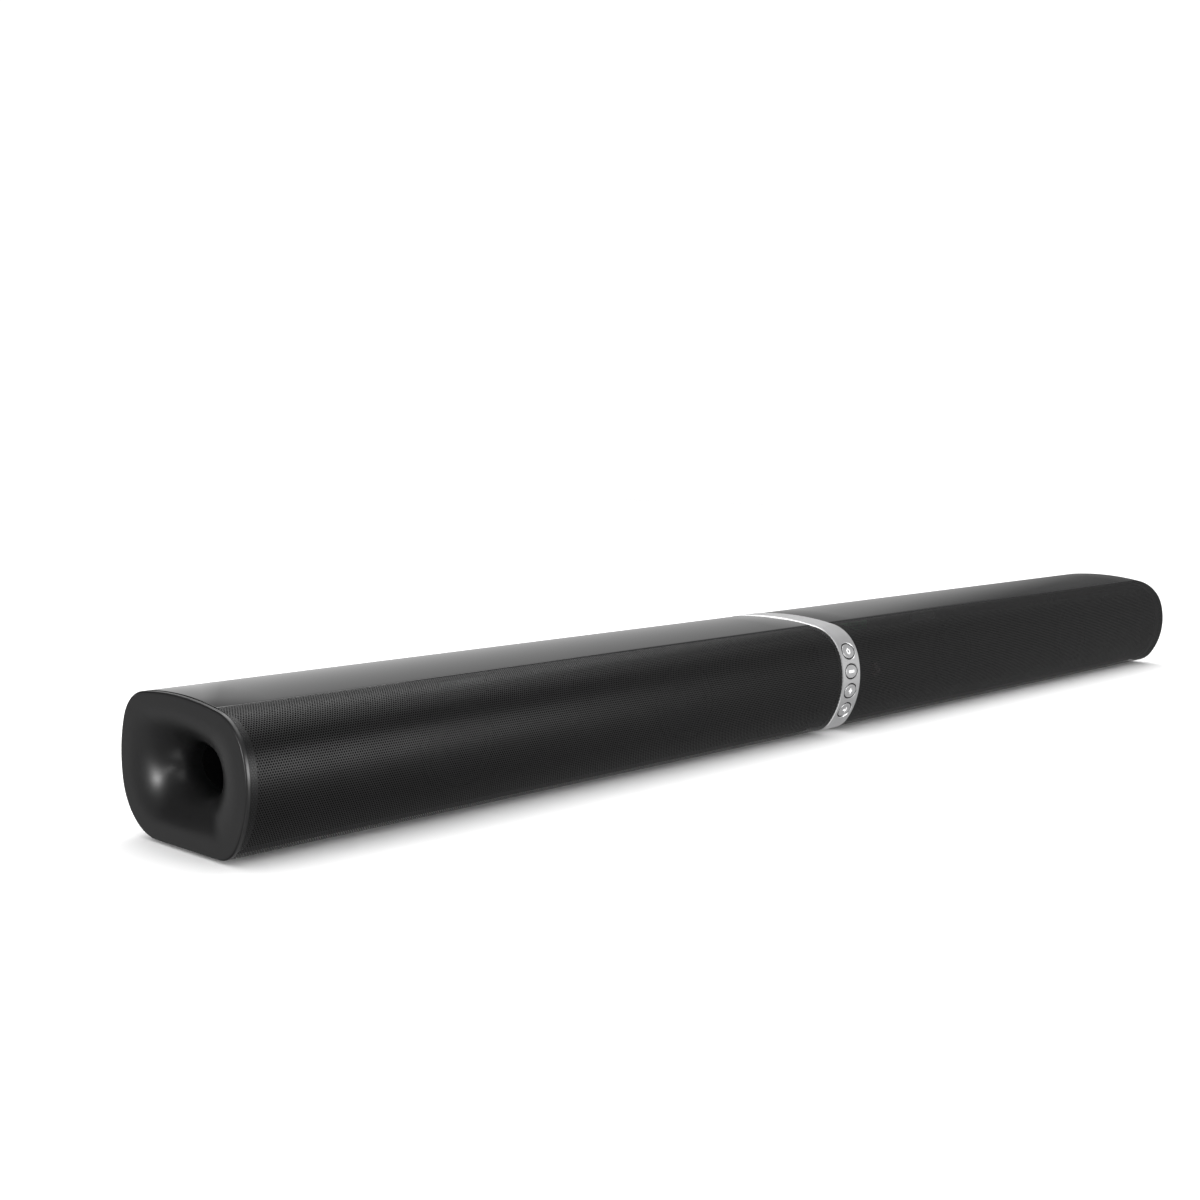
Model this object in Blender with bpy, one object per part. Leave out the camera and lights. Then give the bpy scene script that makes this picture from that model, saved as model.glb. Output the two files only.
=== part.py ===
"""A soundbar in two matching halves joined by a metal control ring.

The bar lies along X with its front towards -Y and stands on four rubber feet at z = 0. Its cross-section is
one outline of tangent arcs. Every skin is a stretch of that outline between two seams, moved inwards by an
inset and drawn out along X. All lengths are in metres.
"""

import math

import bmesh
import bpy
import numpy as np
from mathutils import Matrix, Vector

# Overall size
BAR_LENGTH = 0.940
BAR_HEIGHT = 0.074
FOOT_HEIGHT = 0.0015
GAP = 0.0003

# Cross-section: the crown's top lies behind the middle, and each side has a bulge between two corner arcs
FRONT_REACH = 0.0631
BACK_REACH = 0.0477
CROWN_RADIUS = 0.220
FRONT_ARCS = {"bulge": 0.0506, "bulge_height": 0.0377, "bottom": 0.0184, "top": 0.0264}
BACK_ARCS = {"bulge": 0.0633, "bulge_height": 0.0370, "bottom": 0.0311, "top": 0.0222}
FACET = 0.0042

# Seams of the skins, given by where they cross Y on the top and on the underside
TOP_FRONT_SEAM_Y = -0.0291
TOP_BACK_SEAM_Y = 0.0300
UNDER_SEAM_Y = -0.0266

# Skins
GRILLE_WALL = 0.0008
PANEL_WALL = 0.0020
PANEL_PROUD = 0.0003
SHELL_WALL = 0.0025

# Control ring and its four buttons
RING_WIDTH = 0.0201
RING_WALL = 0.0022
RING_PROUD = 0.0004
RING_CHAMFER = 0.0006
BUTTON_NAMES = ("power", "minus", "plus", "source")
TOP_BUTTON_Z = 0.0546
BUTTON_PITCH = 0.0131
BUTTON_HALF_WIDTH = 0.0067
BUTTON_HALF_HEIGHT = 0.0049
BUTTON_FLANGE = 0.0011
BUTTON_EDGE = 0.0004
BUTTON_TRAVEL = 0.0007
BUTTON_HOLE_CUT_Y = (-0.0700, -0.0350)
STEM_RADIUS = 0.0018

# Frame, bulkheads and the button board behind the ring
FRAME_INSET = 0.0028
FRAME_WALL = 0.0022
FRAME_HALF_WIDTH = 0.0240
FRAME_WINDOW = ((-0.0092, -0.0700, 0.0075), (0.0092, -0.0300, 0.0640))
BULKHEAD_WALL = 0.0030
CABLE_HOLE_RADIUS = 0.0045
CABLE_HOLE_Y = 0.0100
CABLE_HOLE_Z = 0.0220
BOARD_WALL = 0.0016
BUTTON_BOARD_Y = -0.0400
SWITCH_SIDE = 0.0062
SWITCH_BODY = 0.0034
SWITCH_PLUNGER = 0.0008

# End caps, with a horn that flares from the bass port
RIM_WIDTH = 0.0021
RIM_ROUND = 0.0009
CAP_FACE = 0.0070
HORN_DEPTH = 0.0200
HORN_THROAT_Y = 0.0190
HORN_THROAT_Z = 0.0120
THROAT_END = 0.0240
CAP_WALL = 0.0022
SPIGOT_DEPTH = 0.0080
SPIGOT_WALL = 0.0020
PORT_LENGTH = 0.0600
HORN_FLARES = (0.0, 0.4, 0.7, 0.88, 0.97)
HORN_BACK_FLARES = (0.9, 0.65, 0.2)

# How many points a loop has, and how far a cutter reaches past what it cuts
LOOP_POINTS = 40
RING_POINTS = 64
OVAL_POINTS = 16
HOLE_POINTS = 20
CUTOUT_POINTS = 32
CUTTER_REACH = 0.0050

# Baffles and drivers; depths are measured back from the baffle's front face
BAFFLE_FRONT_Y = -0.0400
BAFFLE_WALL = 0.0040
BAFFLE_END_MARGIN = 0.0100
DRIVER_X = {"inner": 0.150, "outer": 0.330}
DRIVER_CUTOUT = 0.0250
DRIVER_SEGMENTS = 18
BASKET_PROFILE = (
    (0.0268, -0.0023),
    (0.0268, -GAP),
    (0.0245, -GAP),
    (0.0245, 0.0055),
    (0.0165, 0.0150),
    (0.0165, 0.0180),
    (0.0105, 0.0180),
    (0.0105, 0.0168),
    (0.0152, 0.0150),
    (0.0232, 0.0050),
    (0.0232, -0.0023),
)
MAGNET_PROFILE = (
    (0.0, 0.0183),
    (0.0050, 0.0183),
    (0.0050, 0.0245),
    (0.0067, 0.0245),
    (0.0067, 0.0183),
    (0.0160, 0.0183),
    (0.0160, 0.0280),
    (0.0, 0.0280),
)
CONE_PROFILE = (
    (0.0, 0.0030),
    (0.0040, 0.0036),
    (0.0070, 0.0058),
    (0.0172, -0.0004),
    (0.0172, 0.0008),
    (0.0064, 0.0090),
    (0.0064, 0.0205),
    (0.0056, 0.0205),
    (0.0056, 0.0080),
    (0.0, 0.0060),
)
# The surround's half roll: each face's middle radius, depth, half width and rise
ROLL_FRONT = (0.0201, -0.0002, 0.0026, 0.0024)
ROLL_BACK = (0.0201, 0.0003, 0.0018, 0.0020)

# Electronics in the right half
MAIN_BOARD_Y = 0.0300
MAIN_BOARD_X = (0.0320, 0.1420)
MAIN_BOARD_Z = (0.0120, 0.0620)
HEATSINK_LEFT = 0.0960
HEATSINK_Z = (0.0180, 0.0520)
HEATSINK_BASE = 0.0030
FIN_COUNT = 8
FIN_PITCH = 0.0050
FIN_THICKNESS = 0.0016
FIN_DEPTH = 0.0130
CAPACITOR_X = {"a": 0.0470, "b": 0.0640}
CAPACITOR_Z = 0.0500
CAPACITOR_PROFILE = ((0.0, -0.0200), (0.0058, -0.0200), (0.0064, -0.0194), (0.0064, 0.0), (0.0, 0.0))
MODULE_X = (0.0420, 0.0660)
MODULE_Z = (0.0170, 0.0330)
MODULE_DEPTH = 0.0026
MODULE_EDGE = 0.0004
IO_CENTRE_X = 0.0800
IO_HALF_WIDTH = 0.0420
IO_HALF_HEIGHT = 0.0130
IO_PLATE_Y = 0.0430
IO_WALL = 0.0016
IO_FLANGE = 0.0050
IO_MOUTH_Y = 0.0518
IO_CORNER = 0.0030
IO_CORNER_POINTS = 4
IO_CUT_Y = (0.0400, 0.0668)
JACK_FRONT_Y = 0.0462
JACK_FLOOR = 0.0030
JACK_X = {"dc": 0.050, "aux": 0.070, "coaxial": 0.090, "optical": 0.110}
JACK_BARREL = {"dc": 0.0045, "aux": 0.0036, "coaxial": 0.0042}
JACK_BORE = {"dc": 0.0031, "aux": 0.0018, "coaxial": 0.0016}
DC_PIN_RADIUS = 0.0010
DC_PIN_SET_BACK = 0.0010
OPTICAL_HALF_SIDE = 0.0049
OPTICAL_HALF_MOUTH = 0.0038
OPTICAL_DOOR_DEPTH = 0.0012

# The remote control's receiver, as a (radius, depth) profile, and the speaker leads' routes
RECEIVER_X = 0.0460
RECEIVER_PROFILE = (
    (0.0, -0.0062),
    (0.0018, -0.0058),
    (0.0029, -0.0044),
    (0.0029, -0.0030),
    (0.0046, -0.0030),
    (0.0046, -GAP),
    (0.0, -GAP),
)
LEAD_RADIUS = 0.0013
LEAD_STEP = 0.0120
LEAD_ROUTES = {
    "left": (
        (0.0360, 0.0272, 0.0280),
        (0.0345, 0.0180, 0.0250),
        (0.0270, 0.0100, 0.0220),
        (-0.0270, 0.0100, 0.0220),
        (-0.0800, 0.0060, 0.0140),
        (-0.1500, 0.0000, 0.0120),
        (-0.2400, 0.0000, 0.0120),
        (-0.3000, -0.0080, 0.0250),
        (-0.3120, -0.0160, 0.0385),
    ),
    "right": (
        (0.1390, 0.0272, 0.0180),
        (0.1500, 0.0120, 0.0150),
        (0.1900, 0.0020, 0.0120),
        (0.2400, 0.0000, 0.0120),
        (0.3000, -0.0080, 0.0250),
        (0.3120, -0.0160, 0.0385),
    ),
}

# Wall hangers and feet
HANGER_X = 0.250
HANGER_Z = 0.0400
HANGER_HALF_SIDE = (0.0170, 0.0140)
HANGER_WINDOW = (0.0110, 0.0100)
HANGER_PAD = (0.0105, 0.0095)
HANGER_PAD_RISE = 0.0014
HANGER_FACE_Y = 0.0515
HANGER_WALL = 0.0012
KEYHOLE_DROP = 0.0030
KEYHOLE_RADIUS = 0.0045
KEYHOLE_SLOT = 0.0023
KEYHOLE_RISE = 0.0070
FOOT_RADIUS = 0.0060
FOOT_EASE = 0.0004
FOOT_X = 0.400
FOOT_Y = (-0.0175, 0.0175)

MID_Z = FOOT_HEIGHT + BAR_HEIGHT / 2
HALF_LENGTH = BAR_LENGTH / 2
SIDES = {"left": -1, "right": 1}
APEX_Y = (FRONT_REACH - BACK_REACH) / 2


# ---------------------------------------------------------------- cross-section


def touching_centre(crown, crown_gap, bulge, bulge_gap):
    """The outer meeting point of circles of these two radii about the crown's and the bulge's centres."""
    across = bulge - crown
    distance = np.hypot(*across)
    along = (crown_gap**2 - bulge_gap**2 + distance**2) / (2 * distance)
    aside = math.sqrt(crown_gap**2 - along**2)
    direction = across / distance
    return crown + along * direction + aside * np.array([direction[1], -direction[0]])


def half_outline(side, reach, bulge, bulge_height, bottom, top):
    """Points and outward normals from the crown's top, round one side, to under the crown's top."""
    bulge_centre = np.array([reach - bulge, bulge_height])
    crown_centre = np.array([0.0, BAR_HEIGHT - CROWN_RADIUS])
    top_centre = touching_centre(crown_centre, CROWN_RADIUS - top, bulge_centre, bulge - top)
    sideways = math.sqrt((bulge - bottom) ** 2 - (bulge_height - bottom) ** 2)
    bottom_centre = np.array([bulge_centre[0] + sideways, bottom])
    crown_end = math.atan2(*(top_centre - crown_centre)[::-1])
    bulge_start = math.atan2(*(top_centre - bulge_centre)[::-1])
    bulge_end = math.atan2(*(bottom_centre - bulge_centre)[::-1])
    arcs = (
        (crown_centre, CROWN_RADIUS, math.pi / 2, crown_end),
        (top_centre, top, crown_end, bulge_start),
        (bulge_centre, bulge, bulge_start, bulge_end),
        (bottom_centre, bottom, bulge_end, -math.pi / 2),
    )
    points = []
    normals = []
    for centre, radius, start, end in arcs:
        angles = np.linspace(start, end, 120)
        normal = np.stack([np.cos(angles), np.sin(angles)], axis=1)
        points.append(centre + radius * normal)
        normals.append(normal)
    flat = np.linspace(bottom_centre[0], 0.0, 40)
    points.append(np.stack([flat, np.zeros_like(flat)], axis=1))
    normals.append(np.tile([0.0, -1.0], (len(flat), 1)))
    turn = np.array([side, 1.0])
    place = np.array([APEX_Y, FOOT_HEIGHT])
    return np.concatenate(points) * turn + place, np.concatenate(normals) * turn


def section_path():
    """The whole outline from the crown's top forwards, under and back up: points, normals and lengths."""
    front, front_normals = half_outline(-1, FRONT_REACH, **FRONT_ARCS)
    back, back_normals = half_outline(1, BACK_REACH, **BACK_ARCS)
    points = np.concatenate([front, back[::-1]])
    normals = np.concatenate([front_normals, back_normals[::-1]])
    steps = np.hypot(*np.diff(points, axis=0).T)
    keep = np.concatenate([[True], steps > 1e-9])
    lengths = np.concatenate([[0.0], np.cumsum(steps)])
    return points[keep], normals[keep], lengths[keep]


PATH, NORMALS, LENGTHS = section_path()
PERIMETER = LENGTHS[-1]
FRONTMOST = LENGTHS[np.argmin(PATH[:, 0])]
BACKMOST = LENGTHS[np.argmax(PATH[:, 0])]


def skin(lengths, inset):
    """(y, z) points of the outline at these lengths along it, moved inwards by inset."""
    lengths = np.mod(lengths, PERIMETER)
    columns = [np.interp(lengths, LENGTHS, values) for values in (*PATH.T, *NORMALS.T)]
    return np.stack(columns[:2], axis=1) - inset * np.stack(columns[2:], axis=1)


def length_at_y(y, start, end):
    """Where the outline crosses y, between two lengths over which it runs one way."""
    part = (LENGTHS >= start) & (LENGTHS <= end)
    lengths = LENGTHS[part]
    across = PATH[part, 0]
    order = np.argsort(across)
    return float(np.interp(y, across[order], lengths[order]))


def front_y(z, inset):
    """The y of the outline's front, moved inwards by inset, at heights z."""
    points = skin(np.linspace(0.0, FRONTMOST + 0.08, 600), inset)
    points = points[points[:, 0] < -0.03]
    return np.interp(z, points[::-1, 1], points[::-1, 0])


def front_heights(y, inset):
    """The lowest and highest z inside the outline's front at this y."""
    upper = skin(np.linspace(0.0, FRONTMOST, 400), inset)
    lower = skin(np.linspace(FRONTMOST, FRONTMOST + 0.08, 400), inset)
    low = np.interp(y, lower[:, 0], lower[:, 1])
    high = np.interp(y, upper[::-1, 0], upper[::-1, 1])
    return float(low), float(high)


def loop(x, inset, count=LOOP_POINTS):
    """A closed loop of the outline at x, evenly spaced along it."""
    flat = skin(np.arange(count) * PERIMETER / count, inset)
    return np.column_stack([np.full(count, x), flat])


TOP_FRONT_SEAM = length_at_y(TOP_FRONT_SEAM_Y, 0.0, FRONTMOST)
UNDER_SEAM = length_at_y(UNDER_SEAM_Y, FRONTMOST, BACKMOST)
TOP_BACK_SEAM = length_at_y(TOP_BACK_SEAM_Y, BACKMOST, PERIMETER)


# ---------------------------------------------------------------- materials


def material(name, colour, roughness, metallic=0.0):
    found = bpy.data.materials.new(name)
    found.use_nodes = True
    shader = found.node_tree.nodes["Principled BSDF"]
    shader.inputs["Base Color"].default_value = (*colour, 1.0)
    shader.inputs["Roughness"].default_value = roughness
    shader.inputs["Metallic"].default_value = metallic
    return found


def make_materials():
    return {
        "gloss": material("gloss_black_plastic", (0.012, 0.012, 0.013), 0.08),
        "satin": material("satin_black_plastic", (0.020, 0.020, 0.021), 0.42),
        "shell": material("textured_black_plastic", (0.016, 0.016, 0.017), 0.60),
        "grille": material("black_perforated_steel", (0.022, 0.022, 0.023), 0.45, 0.6),
        "silver": material("satin_silver_metal", (0.62, 0.62, 0.63), 0.30, 1.0),
        "frame": material("grey_inner_plastic", (0.10, 0.10, 0.11), 0.65),
        "wood": material("black_fibreboard", (0.035, 0.030, 0.028), 0.80),
        "board": material("green_circuit_board", (0.02, 0.16, 0.07), 0.45),
        "switch": material("switch_plastic", (0.05, 0.05, 0.055), 0.50),
        "steel": material("zinc_plated_steel", (0.55, 0.56, 0.58), 0.35, 1.0),
        "ferrite": material("ferrite_magnet", (0.06, 0.06, 0.065), 0.55),
        "cone": material("coated_paper_cone", (0.030, 0.030, 0.032), 0.75),
        "rubber": material("black_rubber", (0.018, 0.018, 0.018), 0.85),
        "aluminium": material("anodised_aluminium", (0.30, 0.31, 0.33), 0.40, 1.0),
        "sleeve": material("capacitor_sleeve", (0.03, 0.04, 0.10), 0.40),
        "lead": material("twin_lead_sheath", (0.30, 0.02, 0.02), 0.50),
    }


# ---------------------------------------------------------------- mesh tools


def new_object(name, mesh_builder, shader):
    """An object from a filled bmesh, with doubles merged and its faces pointing out."""
    bmesh.ops.remove_doubles(mesh_builder, verts=mesh_builder.verts, dist=1e-6)
    bmesh.ops.recalc_face_normals(mesh_builder, faces=mesh_builder.faces)
    mesh = bpy.data.meshes.new(name)
    mesh_builder.to_mesh(mesh)
    mesh_builder.free()
    mesh.materials.append(shader)
    created = bpy.data.objects.new(name, mesh)
    bpy.context.scene.collection.objects.link(created)
    return created


def loft(name, loops, shader, closed=False):
    """A skin over loops of equal count. It is closed back to the first loop, or capped at both ends."""
    builder = bmesh.new()
    rows = [[builder.verts.new(point) for point in points] for points in loops]
    pairs = list(zip(rows, rows[1:], strict=False))
    if closed:
        pairs.append((rows[-1], rows[0]))
    for near, far in pairs:
        for i, start in enumerate(near):
            j = (i + 1) % len(near)
            builder.faces.new((start, near[j], far[j], far[i]))
    if not closed:
        builder.faces.new(rows[0])
        builder.faces.new(rows[-1])
    return new_object(name, builder, shader)


def prism(name, outline, axis, start, end, shader):
    """A flat outline drawn out along an axis; its two columns are the other two axes in order."""
    loops = []
    for place in (start, end):
        points = np.insert(np.asarray(outline, float), "xyz".index(axis), place, axis=1)
        loops.append(points)
    return loft(name, loops, shader)


def box(name, low, high, shader):
    corners = [(low[1], low[2]), (high[1], low[2]), (high[1], high[2]), (low[1], high[2])]
    return prism(name, corners, "x", low[0], high[0], shader)


def turned(name, profile, centre, shader, segments=DRIVER_SEGMENTS):
    """A closed (radius, depth) profile turned about the line through centre along Y, depth running to +Y."""
    angles = np.arange(segments) * 2 * math.pi / segments
    loops = []
    for radius, depth in profile:
        x = centre[0] + radius * np.cos(angles)
        z = centre[2] + radius * np.sin(angles)
        loops.append(np.column_stack([x, np.full(segments, centre[1] + depth), z]))
    if min(profile[0][0], profile[-1][0]) > 0:
        return loft(name, loops, shader, closed=True)
    return turned_to_axis(name, loops, shader)


def turned_to_axis(name, loops, shader):
    """Loops whose first and last lie on the axis: each becomes one point with a fan round it."""
    builder = bmesh.new()
    rows = [[builder.verts.new(point) for point in points] for points in loops[1:-1]]
    first = builder.verts.new(loops[0].mean(axis=0))
    last = builder.verts.new(loops[-1].mean(axis=0))
    for near, far in zip(rows, rows[1:], strict=False):
        for i, start in enumerate(near):
            j = (i + 1) % len(near)
            builder.faces.new((start, near[j], far[j], far[i]))
    for tip, row in ((first, rows[0]), (last, rows[-1])):
        for i, start in enumerate(row):
            builder.faces.new((tip, start, row[(i + 1) % len(row)]))
    return new_object(name, builder, shader)


def cut(target, cutter):
    """Takes the cutter's shape out of the target and leaves the cutter as a hidden helper."""
    cutter.hide_render = True
    cutter.display_type = "WIRE"
    modifier = target.modifiers.new(cutter.name, "BOOLEAN")
    modifier.operation = "DIFFERENCE"
    modifier.solver = "EXACT"
    modifier.object = cutter


def smooth(created, degrees=35):
    created.data.shade_smooth()
    created.data.set_sharp_from_angle(angle=math.radians(degrees))


def place_origin(created, point):
    """Moves the object's origin to a point on its joint's axis, leaving the mesh where it is."""
    created.data.transform(Matrix.Translation(-Vector(point)))
    created.location = point


# ---------------------------------------------------------------- skins and caps


def skin_strip(name, side, seams, insets, shader):
    """One half's stretch of the outline between two seams, from the ring to the end cap."""
    start = seams[0] + GAP / 2
    end = seams[1] - GAP / 2
    count = math.ceil((end - start) / FACET) + 1
    lengths = np.linspace(start, end, count)
    outline = np.concatenate([skin(lengths, insets[0]), skin(lengths[::-1], insets[1])])
    near = side * (RING_WIDTH / 2 + GAP)
    far = side * (HALF_LENGTH - RIM_WIDTH - GAP)
    created = prism(name, outline, "x", near, far, shader)
    smooth(created)
    return created


def make_skins(name, side, shaders):
    """The perforated grille round the front, the gloss panel on top and the shell round the back."""
    grille = (TOP_FRONT_SEAM, UNDER_SEAM)
    top = (TOP_BACK_SEAM, PERIMETER + TOP_FRONT_SEAM)
    rear = (UNDER_SEAM, TOP_BACK_SEAM)
    skin_strip(f"{name}_grille", side, grille, (0.0, GRILLE_WALL), shaders["grille"])
    skin_strip(f"{name}_top_panel", side, top, (-PANEL_PROUD, PANEL_WALL), shaders["gloss"])
    return skin_strip(f"{name}_rear_shell", side, rear, (0.0, SHELL_WALL), shaders["shell"])


def ellipse_loop(x, half_y, half_z):
    """An ellipse whose points keep the outline's own spacing of directions, so that a loft doesn't twist."""
    outline = loop(x, CAP_FACE)
    across = outline[:, 1] / np.abs(outline[:, 1]).max()
    up = (outline[:, 2] - MID_Z) / np.abs(outline[:, 2] - MID_Z).max()
    angles = np.arctan2(up, across)
    place = np.full(len(angles), x)
    return np.column_stack([place, half_y * np.cos(angles), MID_Z + half_z * np.sin(angles)])


def horn_loop(side, flare, wall):
    """The horn at a flare from 0, the mouth in the cap's face, to 1, the throat, or its back with a wall.

    In the plane it blends straight from the mouth's outline to the throat's ellipse. Its depth follows a
    quarter of an ellipse, so the face is flat at the mouth and the walls run straight in at the throat.
    """
    depth = HORN_DEPTH * (1 - math.sqrt(1 - flare**2)) + wall * (1 - flare)
    x = side * (HALF_LENGTH - depth)
    mouth = loop(x, CAP_FACE - wall)
    throat = ellipse_loop(x, HORN_THROAT_Y + wall, HORN_THROAT_Z + wall)
    return mouth + flare * (throat - mouth)


def make_end_cap(name, side, shader):
    """A moulded cap: rim, rounded edge, flat face, horn and the spigot that plugs into the skins."""

    def at(depth, inset):
        return loop(side * (HALF_LENGTH - depth), inset)

    def throat(depth, wall):
        return ellipse_loop(side * (HALF_LENGTH - depth), HORN_THROAT_Y + wall, HORN_THROAT_Z + wall)

    edge = [RIM_ROUND * (1 - math.sin(turn)) for turn in (0.0, math.pi / 4, math.pi / 2)]
    inset = [RIM_ROUND * (1 - math.cos(turn)) for turn in (0.0, math.pi / 4, math.pi / 2)]
    spigot = SHELL_WALL + GAP
    front = [horn_loop(side, flare, 0.0) for flare in HORN_FLARES]
    back = [horn_loop(side, flare, CAP_WALL) for flare in HORN_BACK_FLARES]
    loops = [at(RIM_WIDTH, 0.0)]
    loops += [at(depth, aside) for depth, aside in zip(edge, inset, strict=True)]
    loops += front
    loops += [throat(HORN_DEPTH, 0.0), throat(THROAT_END, 0.0), throat(THROAT_END, CAP_WALL)]
    loops += [throat(HORN_DEPTH, CAP_WALL)] + back
    loops += [at(CAP_WALL + GAP, spigot + SPIGOT_WALL), at(SPIGOT_DEPTH, spigot + SPIGOT_WALL)]
    loops += [at(SPIGOT_DEPTH, spigot), at(RIM_WIDTH, spigot)]
    created = loft(f"{name}_end_cap", loops, shader, closed=True)
    smooth(created)


def make_port_tube(name, side, shader):
    """The bass port's straight tube, carrying on from the horn's throat into the cabinet."""
    near = side * (HALF_LENGTH - THROAT_END - GAP)
    far = near - side * PORT_LENGTH
    loops = [
        ellipse_loop(near, HORN_THROAT_Y, HORN_THROAT_Z),
        ellipse_loop(far, HORN_THROAT_Y, HORN_THROAT_Z),
        ellipse_loop(far, HORN_THROAT_Y + CAP_WALL, HORN_THROAT_Z + CAP_WALL),
        ellipse_loop(near, HORN_THROAT_Y + CAP_WALL, HORN_THROAT_Z + CAP_WALL),
    ]
    created = loft(f"{name}_port_tube", [points[::2] for points in loops], shader, closed=True)
    smooth(created)


# ---------------------------------------------------------------- control ring and buttons


def oval(half_width, half_height, height, segments=OVAL_POINTS):
    """(x, z) points of a button's oval about x = 0 at this height."""
    angles = np.arange(segments) * 2 * math.pi / segments
    return np.column_stack([half_width * np.cos(angles), height + half_height * np.sin(angles)])


def make_control_ring(shader):
    """A metal band round the whole bar, with chamfered edges and an oval hole for each button."""
    half = RING_WIDTH / 2
    corners = (
        (-half, RING_WALL),
        (-half, -RING_PROUD + RING_CHAMFER),
        (-half + RING_CHAMFER, -RING_PROUD),
        (half - RING_CHAMFER, -RING_PROUD),
        (half, -RING_PROUD + RING_CHAMFER),
        (half, RING_WALL),
    )
    ring = loft("control_ring", [loop(x, inset, RING_POINTS) for x, inset in corners], shader, closed=True)
    smooth(ring, 30)
    for index, name in enumerate(BUTTON_NAMES):
        height = TOP_BUTTON_Z - index * BUTTON_PITCH + FOOT_HEIGHT
        hole = oval(BUTTON_HALF_WIDTH + GAP, BUTTON_HALF_HEIGHT + GAP, height)
        cut(ring, prism(f"{name}_hole_cutter", hole, "y", *BUTTON_HOLE_CUT_Y, shader))


def make_button(name, height, shader):
    """A cap that follows the ring's curve, with a flange behind the ring and a stem to its switch."""

    def curved(scale, grow, inset):
        flat = oval(BUTTON_HALF_WIDTH * scale + grow, BUTTON_HALF_HEIGHT * scale + grow, height)
        return np.column_stack([flat[:, 0], front_y(flat[:, 1], inset), flat[:, 1]])

    behind = RING_WALL + GAP
    stem_end = BUTTON_BOARD_Y - SWITCH_BODY - SWITCH_PLUNGER - BUTTON_TRAVEL - GAP
    stem = oval(STEM_RADIUS, STEM_RADIUS, height)
    stem_start = np.column_stack([stem[:, 0], front_y(stem[:, 1], behind + BUTTON_FLANGE), stem[:, 1]])
    stem_stop = np.column_stack([stem[:, 0], np.full(len(stem), stem_end), stem[:, 1]])
    loops = [
        *(curved(scale, 0.0, -RING_PROUD) for scale in (0.02, 0.5, 0.93)),
        curved(1.0, 0.0, -RING_PROUD + BUTTON_EDGE),
        curved(1.0, 0.0, behind),
        curved(1.0, BUTTON_FLANGE, behind),
        curved(1.0, BUTTON_FLANGE, behind + BUTTON_FLANGE),
        stem_start,
        stem_stop,
    ]
    created = loft(f"{name}_button", loops, shader)
    smooth(created)
    place_origin(created, (0.0, float(front_y(height, 0.0)), height))


def make_button_switch(name, height, shader):
    """A tact switch on the button board, lofted from its square body to its round plunger."""
    body_front = BUTTON_BOARD_Y - SWITCH_BODY
    plunger_front = body_front - SWITCH_PLUNGER
    angles = (np.arange(OVAL_POINTS) + 0.5) * 2 * math.pi / OVAL_POINTS
    circle = np.stack([np.cos(angles), np.sin(angles)], axis=1)
    square = circle / np.abs(circle).max(axis=1, keepdims=True) * (SWITCH_SIDE / 2)
    round_end = circle * STEM_RADIUS
    loops = []
    for shape, y in (
        (square, BUTTON_BOARD_Y - GAP),
        (square, body_front),
        (round_end, body_front),
        (round_end, plunger_front),
    ):
        loops.append(np.column_stack([shape[:, 0], np.full(OVAL_POINTS, y), shape[:, 1] + height]))
    loft(f"{name}_switch", loops, shader)


def make_centre_frame(shader):
    """The collar that both halves plug onto, open at the front where the buttons reach their board."""
    corners = (
        (-FRAME_HALF_WIDTH, FRAME_INSET),
        (FRAME_HALF_WIDTH, FRAME_INSET),
        (FRAME_HALF_WIDTH, FRAME_INSET + FRAME_WALL),
        (-FRAME_HALF_WIDTH, FRAME_INSET + FRAME_WALL),
    )
    loops = [loop(x, inset, RING_POINTS) for x, inset in corners]
    frame = loft("centre_frame", loops, shader, closed=True)
    smooth(frame)
    cut(frame, box("button_window_cutter", *FRAME_WINDOW, shader))


def make_bulkhead(name, side, shader):
    """A plate that closes one half's cabinet beside the centre frame, with a hole for the speaker lead."""
    near = side * (FRAME_HALF_WIDTH + GAP)
    plate = prism(
        f"{name}_bulkhead",
        skin(np.arange(RING_POINTS) * PERIMETER / RING_POINTS, FRAME_INSET),
        "x",
        near,
        near + side * BULKHEAD_WALL,
        shader,
    )
    hole = oval(CABLE_HOLE_RADIUS, CABLE_HOLE_RADIUS, 0.0, HOLE_POINTS) + (CABLE_HOLE_Y, CABLE_HOLE_Z)
    far = near + side * BULKHEAD_WALL
    span = (near - side * CUTTER_REACH, far + side * CUTTER_REACH)
    cut(plate, prism(f"{name}_cable_hole_cutter", hole, "x", *span, shader))


def make_button_board(shader):
    """The upright board behind the ring, held at its ends by the two bulkheads."""
    low, high = front_heights(BUTTON_BOARD_Y, FRAME_INSET + FRAME_WALL + GAP)
    half = FRAME_HALF_WIDTH - GAP
    box("button_board", (-half, BUTTON_BOARD_Y, low), (half, BUTTON_BOARD_Y + BOARD_WALL, high), shader)


# ---------------------------------------------------------------- drivers


def make_baffle(name, side, shader):
    """The front board of one cabinet, with a round cut-out for each driver."""
    low, high = front_heights(BAFFLE_FRONT_Y, SHELL_WALL + GAP)
    near = FRAME_HALF_WIDTH + BULKHEAD_WALL + 2 * GAP
    far = HALF_LENGTH - BAFFLE_END_MARGIN
    outline = [(side * near, low), (side * far, low), (side * far, high), (side * near, high)]
    back = BAFFLE_FRONT_Y + BAFFLE_WALL
    baffle = prism(f"{name}_baffle", outline, "y", BAFFLE_FRONT_Y, back, shader)
    span = (BAFFLE_FRONT_Y - CUTTER_REACH, back + CUTTER_REACH)
    for place, x in DRIVER_X.items():
        hole = oval(DRIVER_CUTOUT, DRIVER_CUTOUT, MID_Z, CUTOUT_POINTS) + (side * x, 0.0)
        cut(baffle, prism(f"{name}_{place}_cutter", hole, "y", *span, shader))


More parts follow.
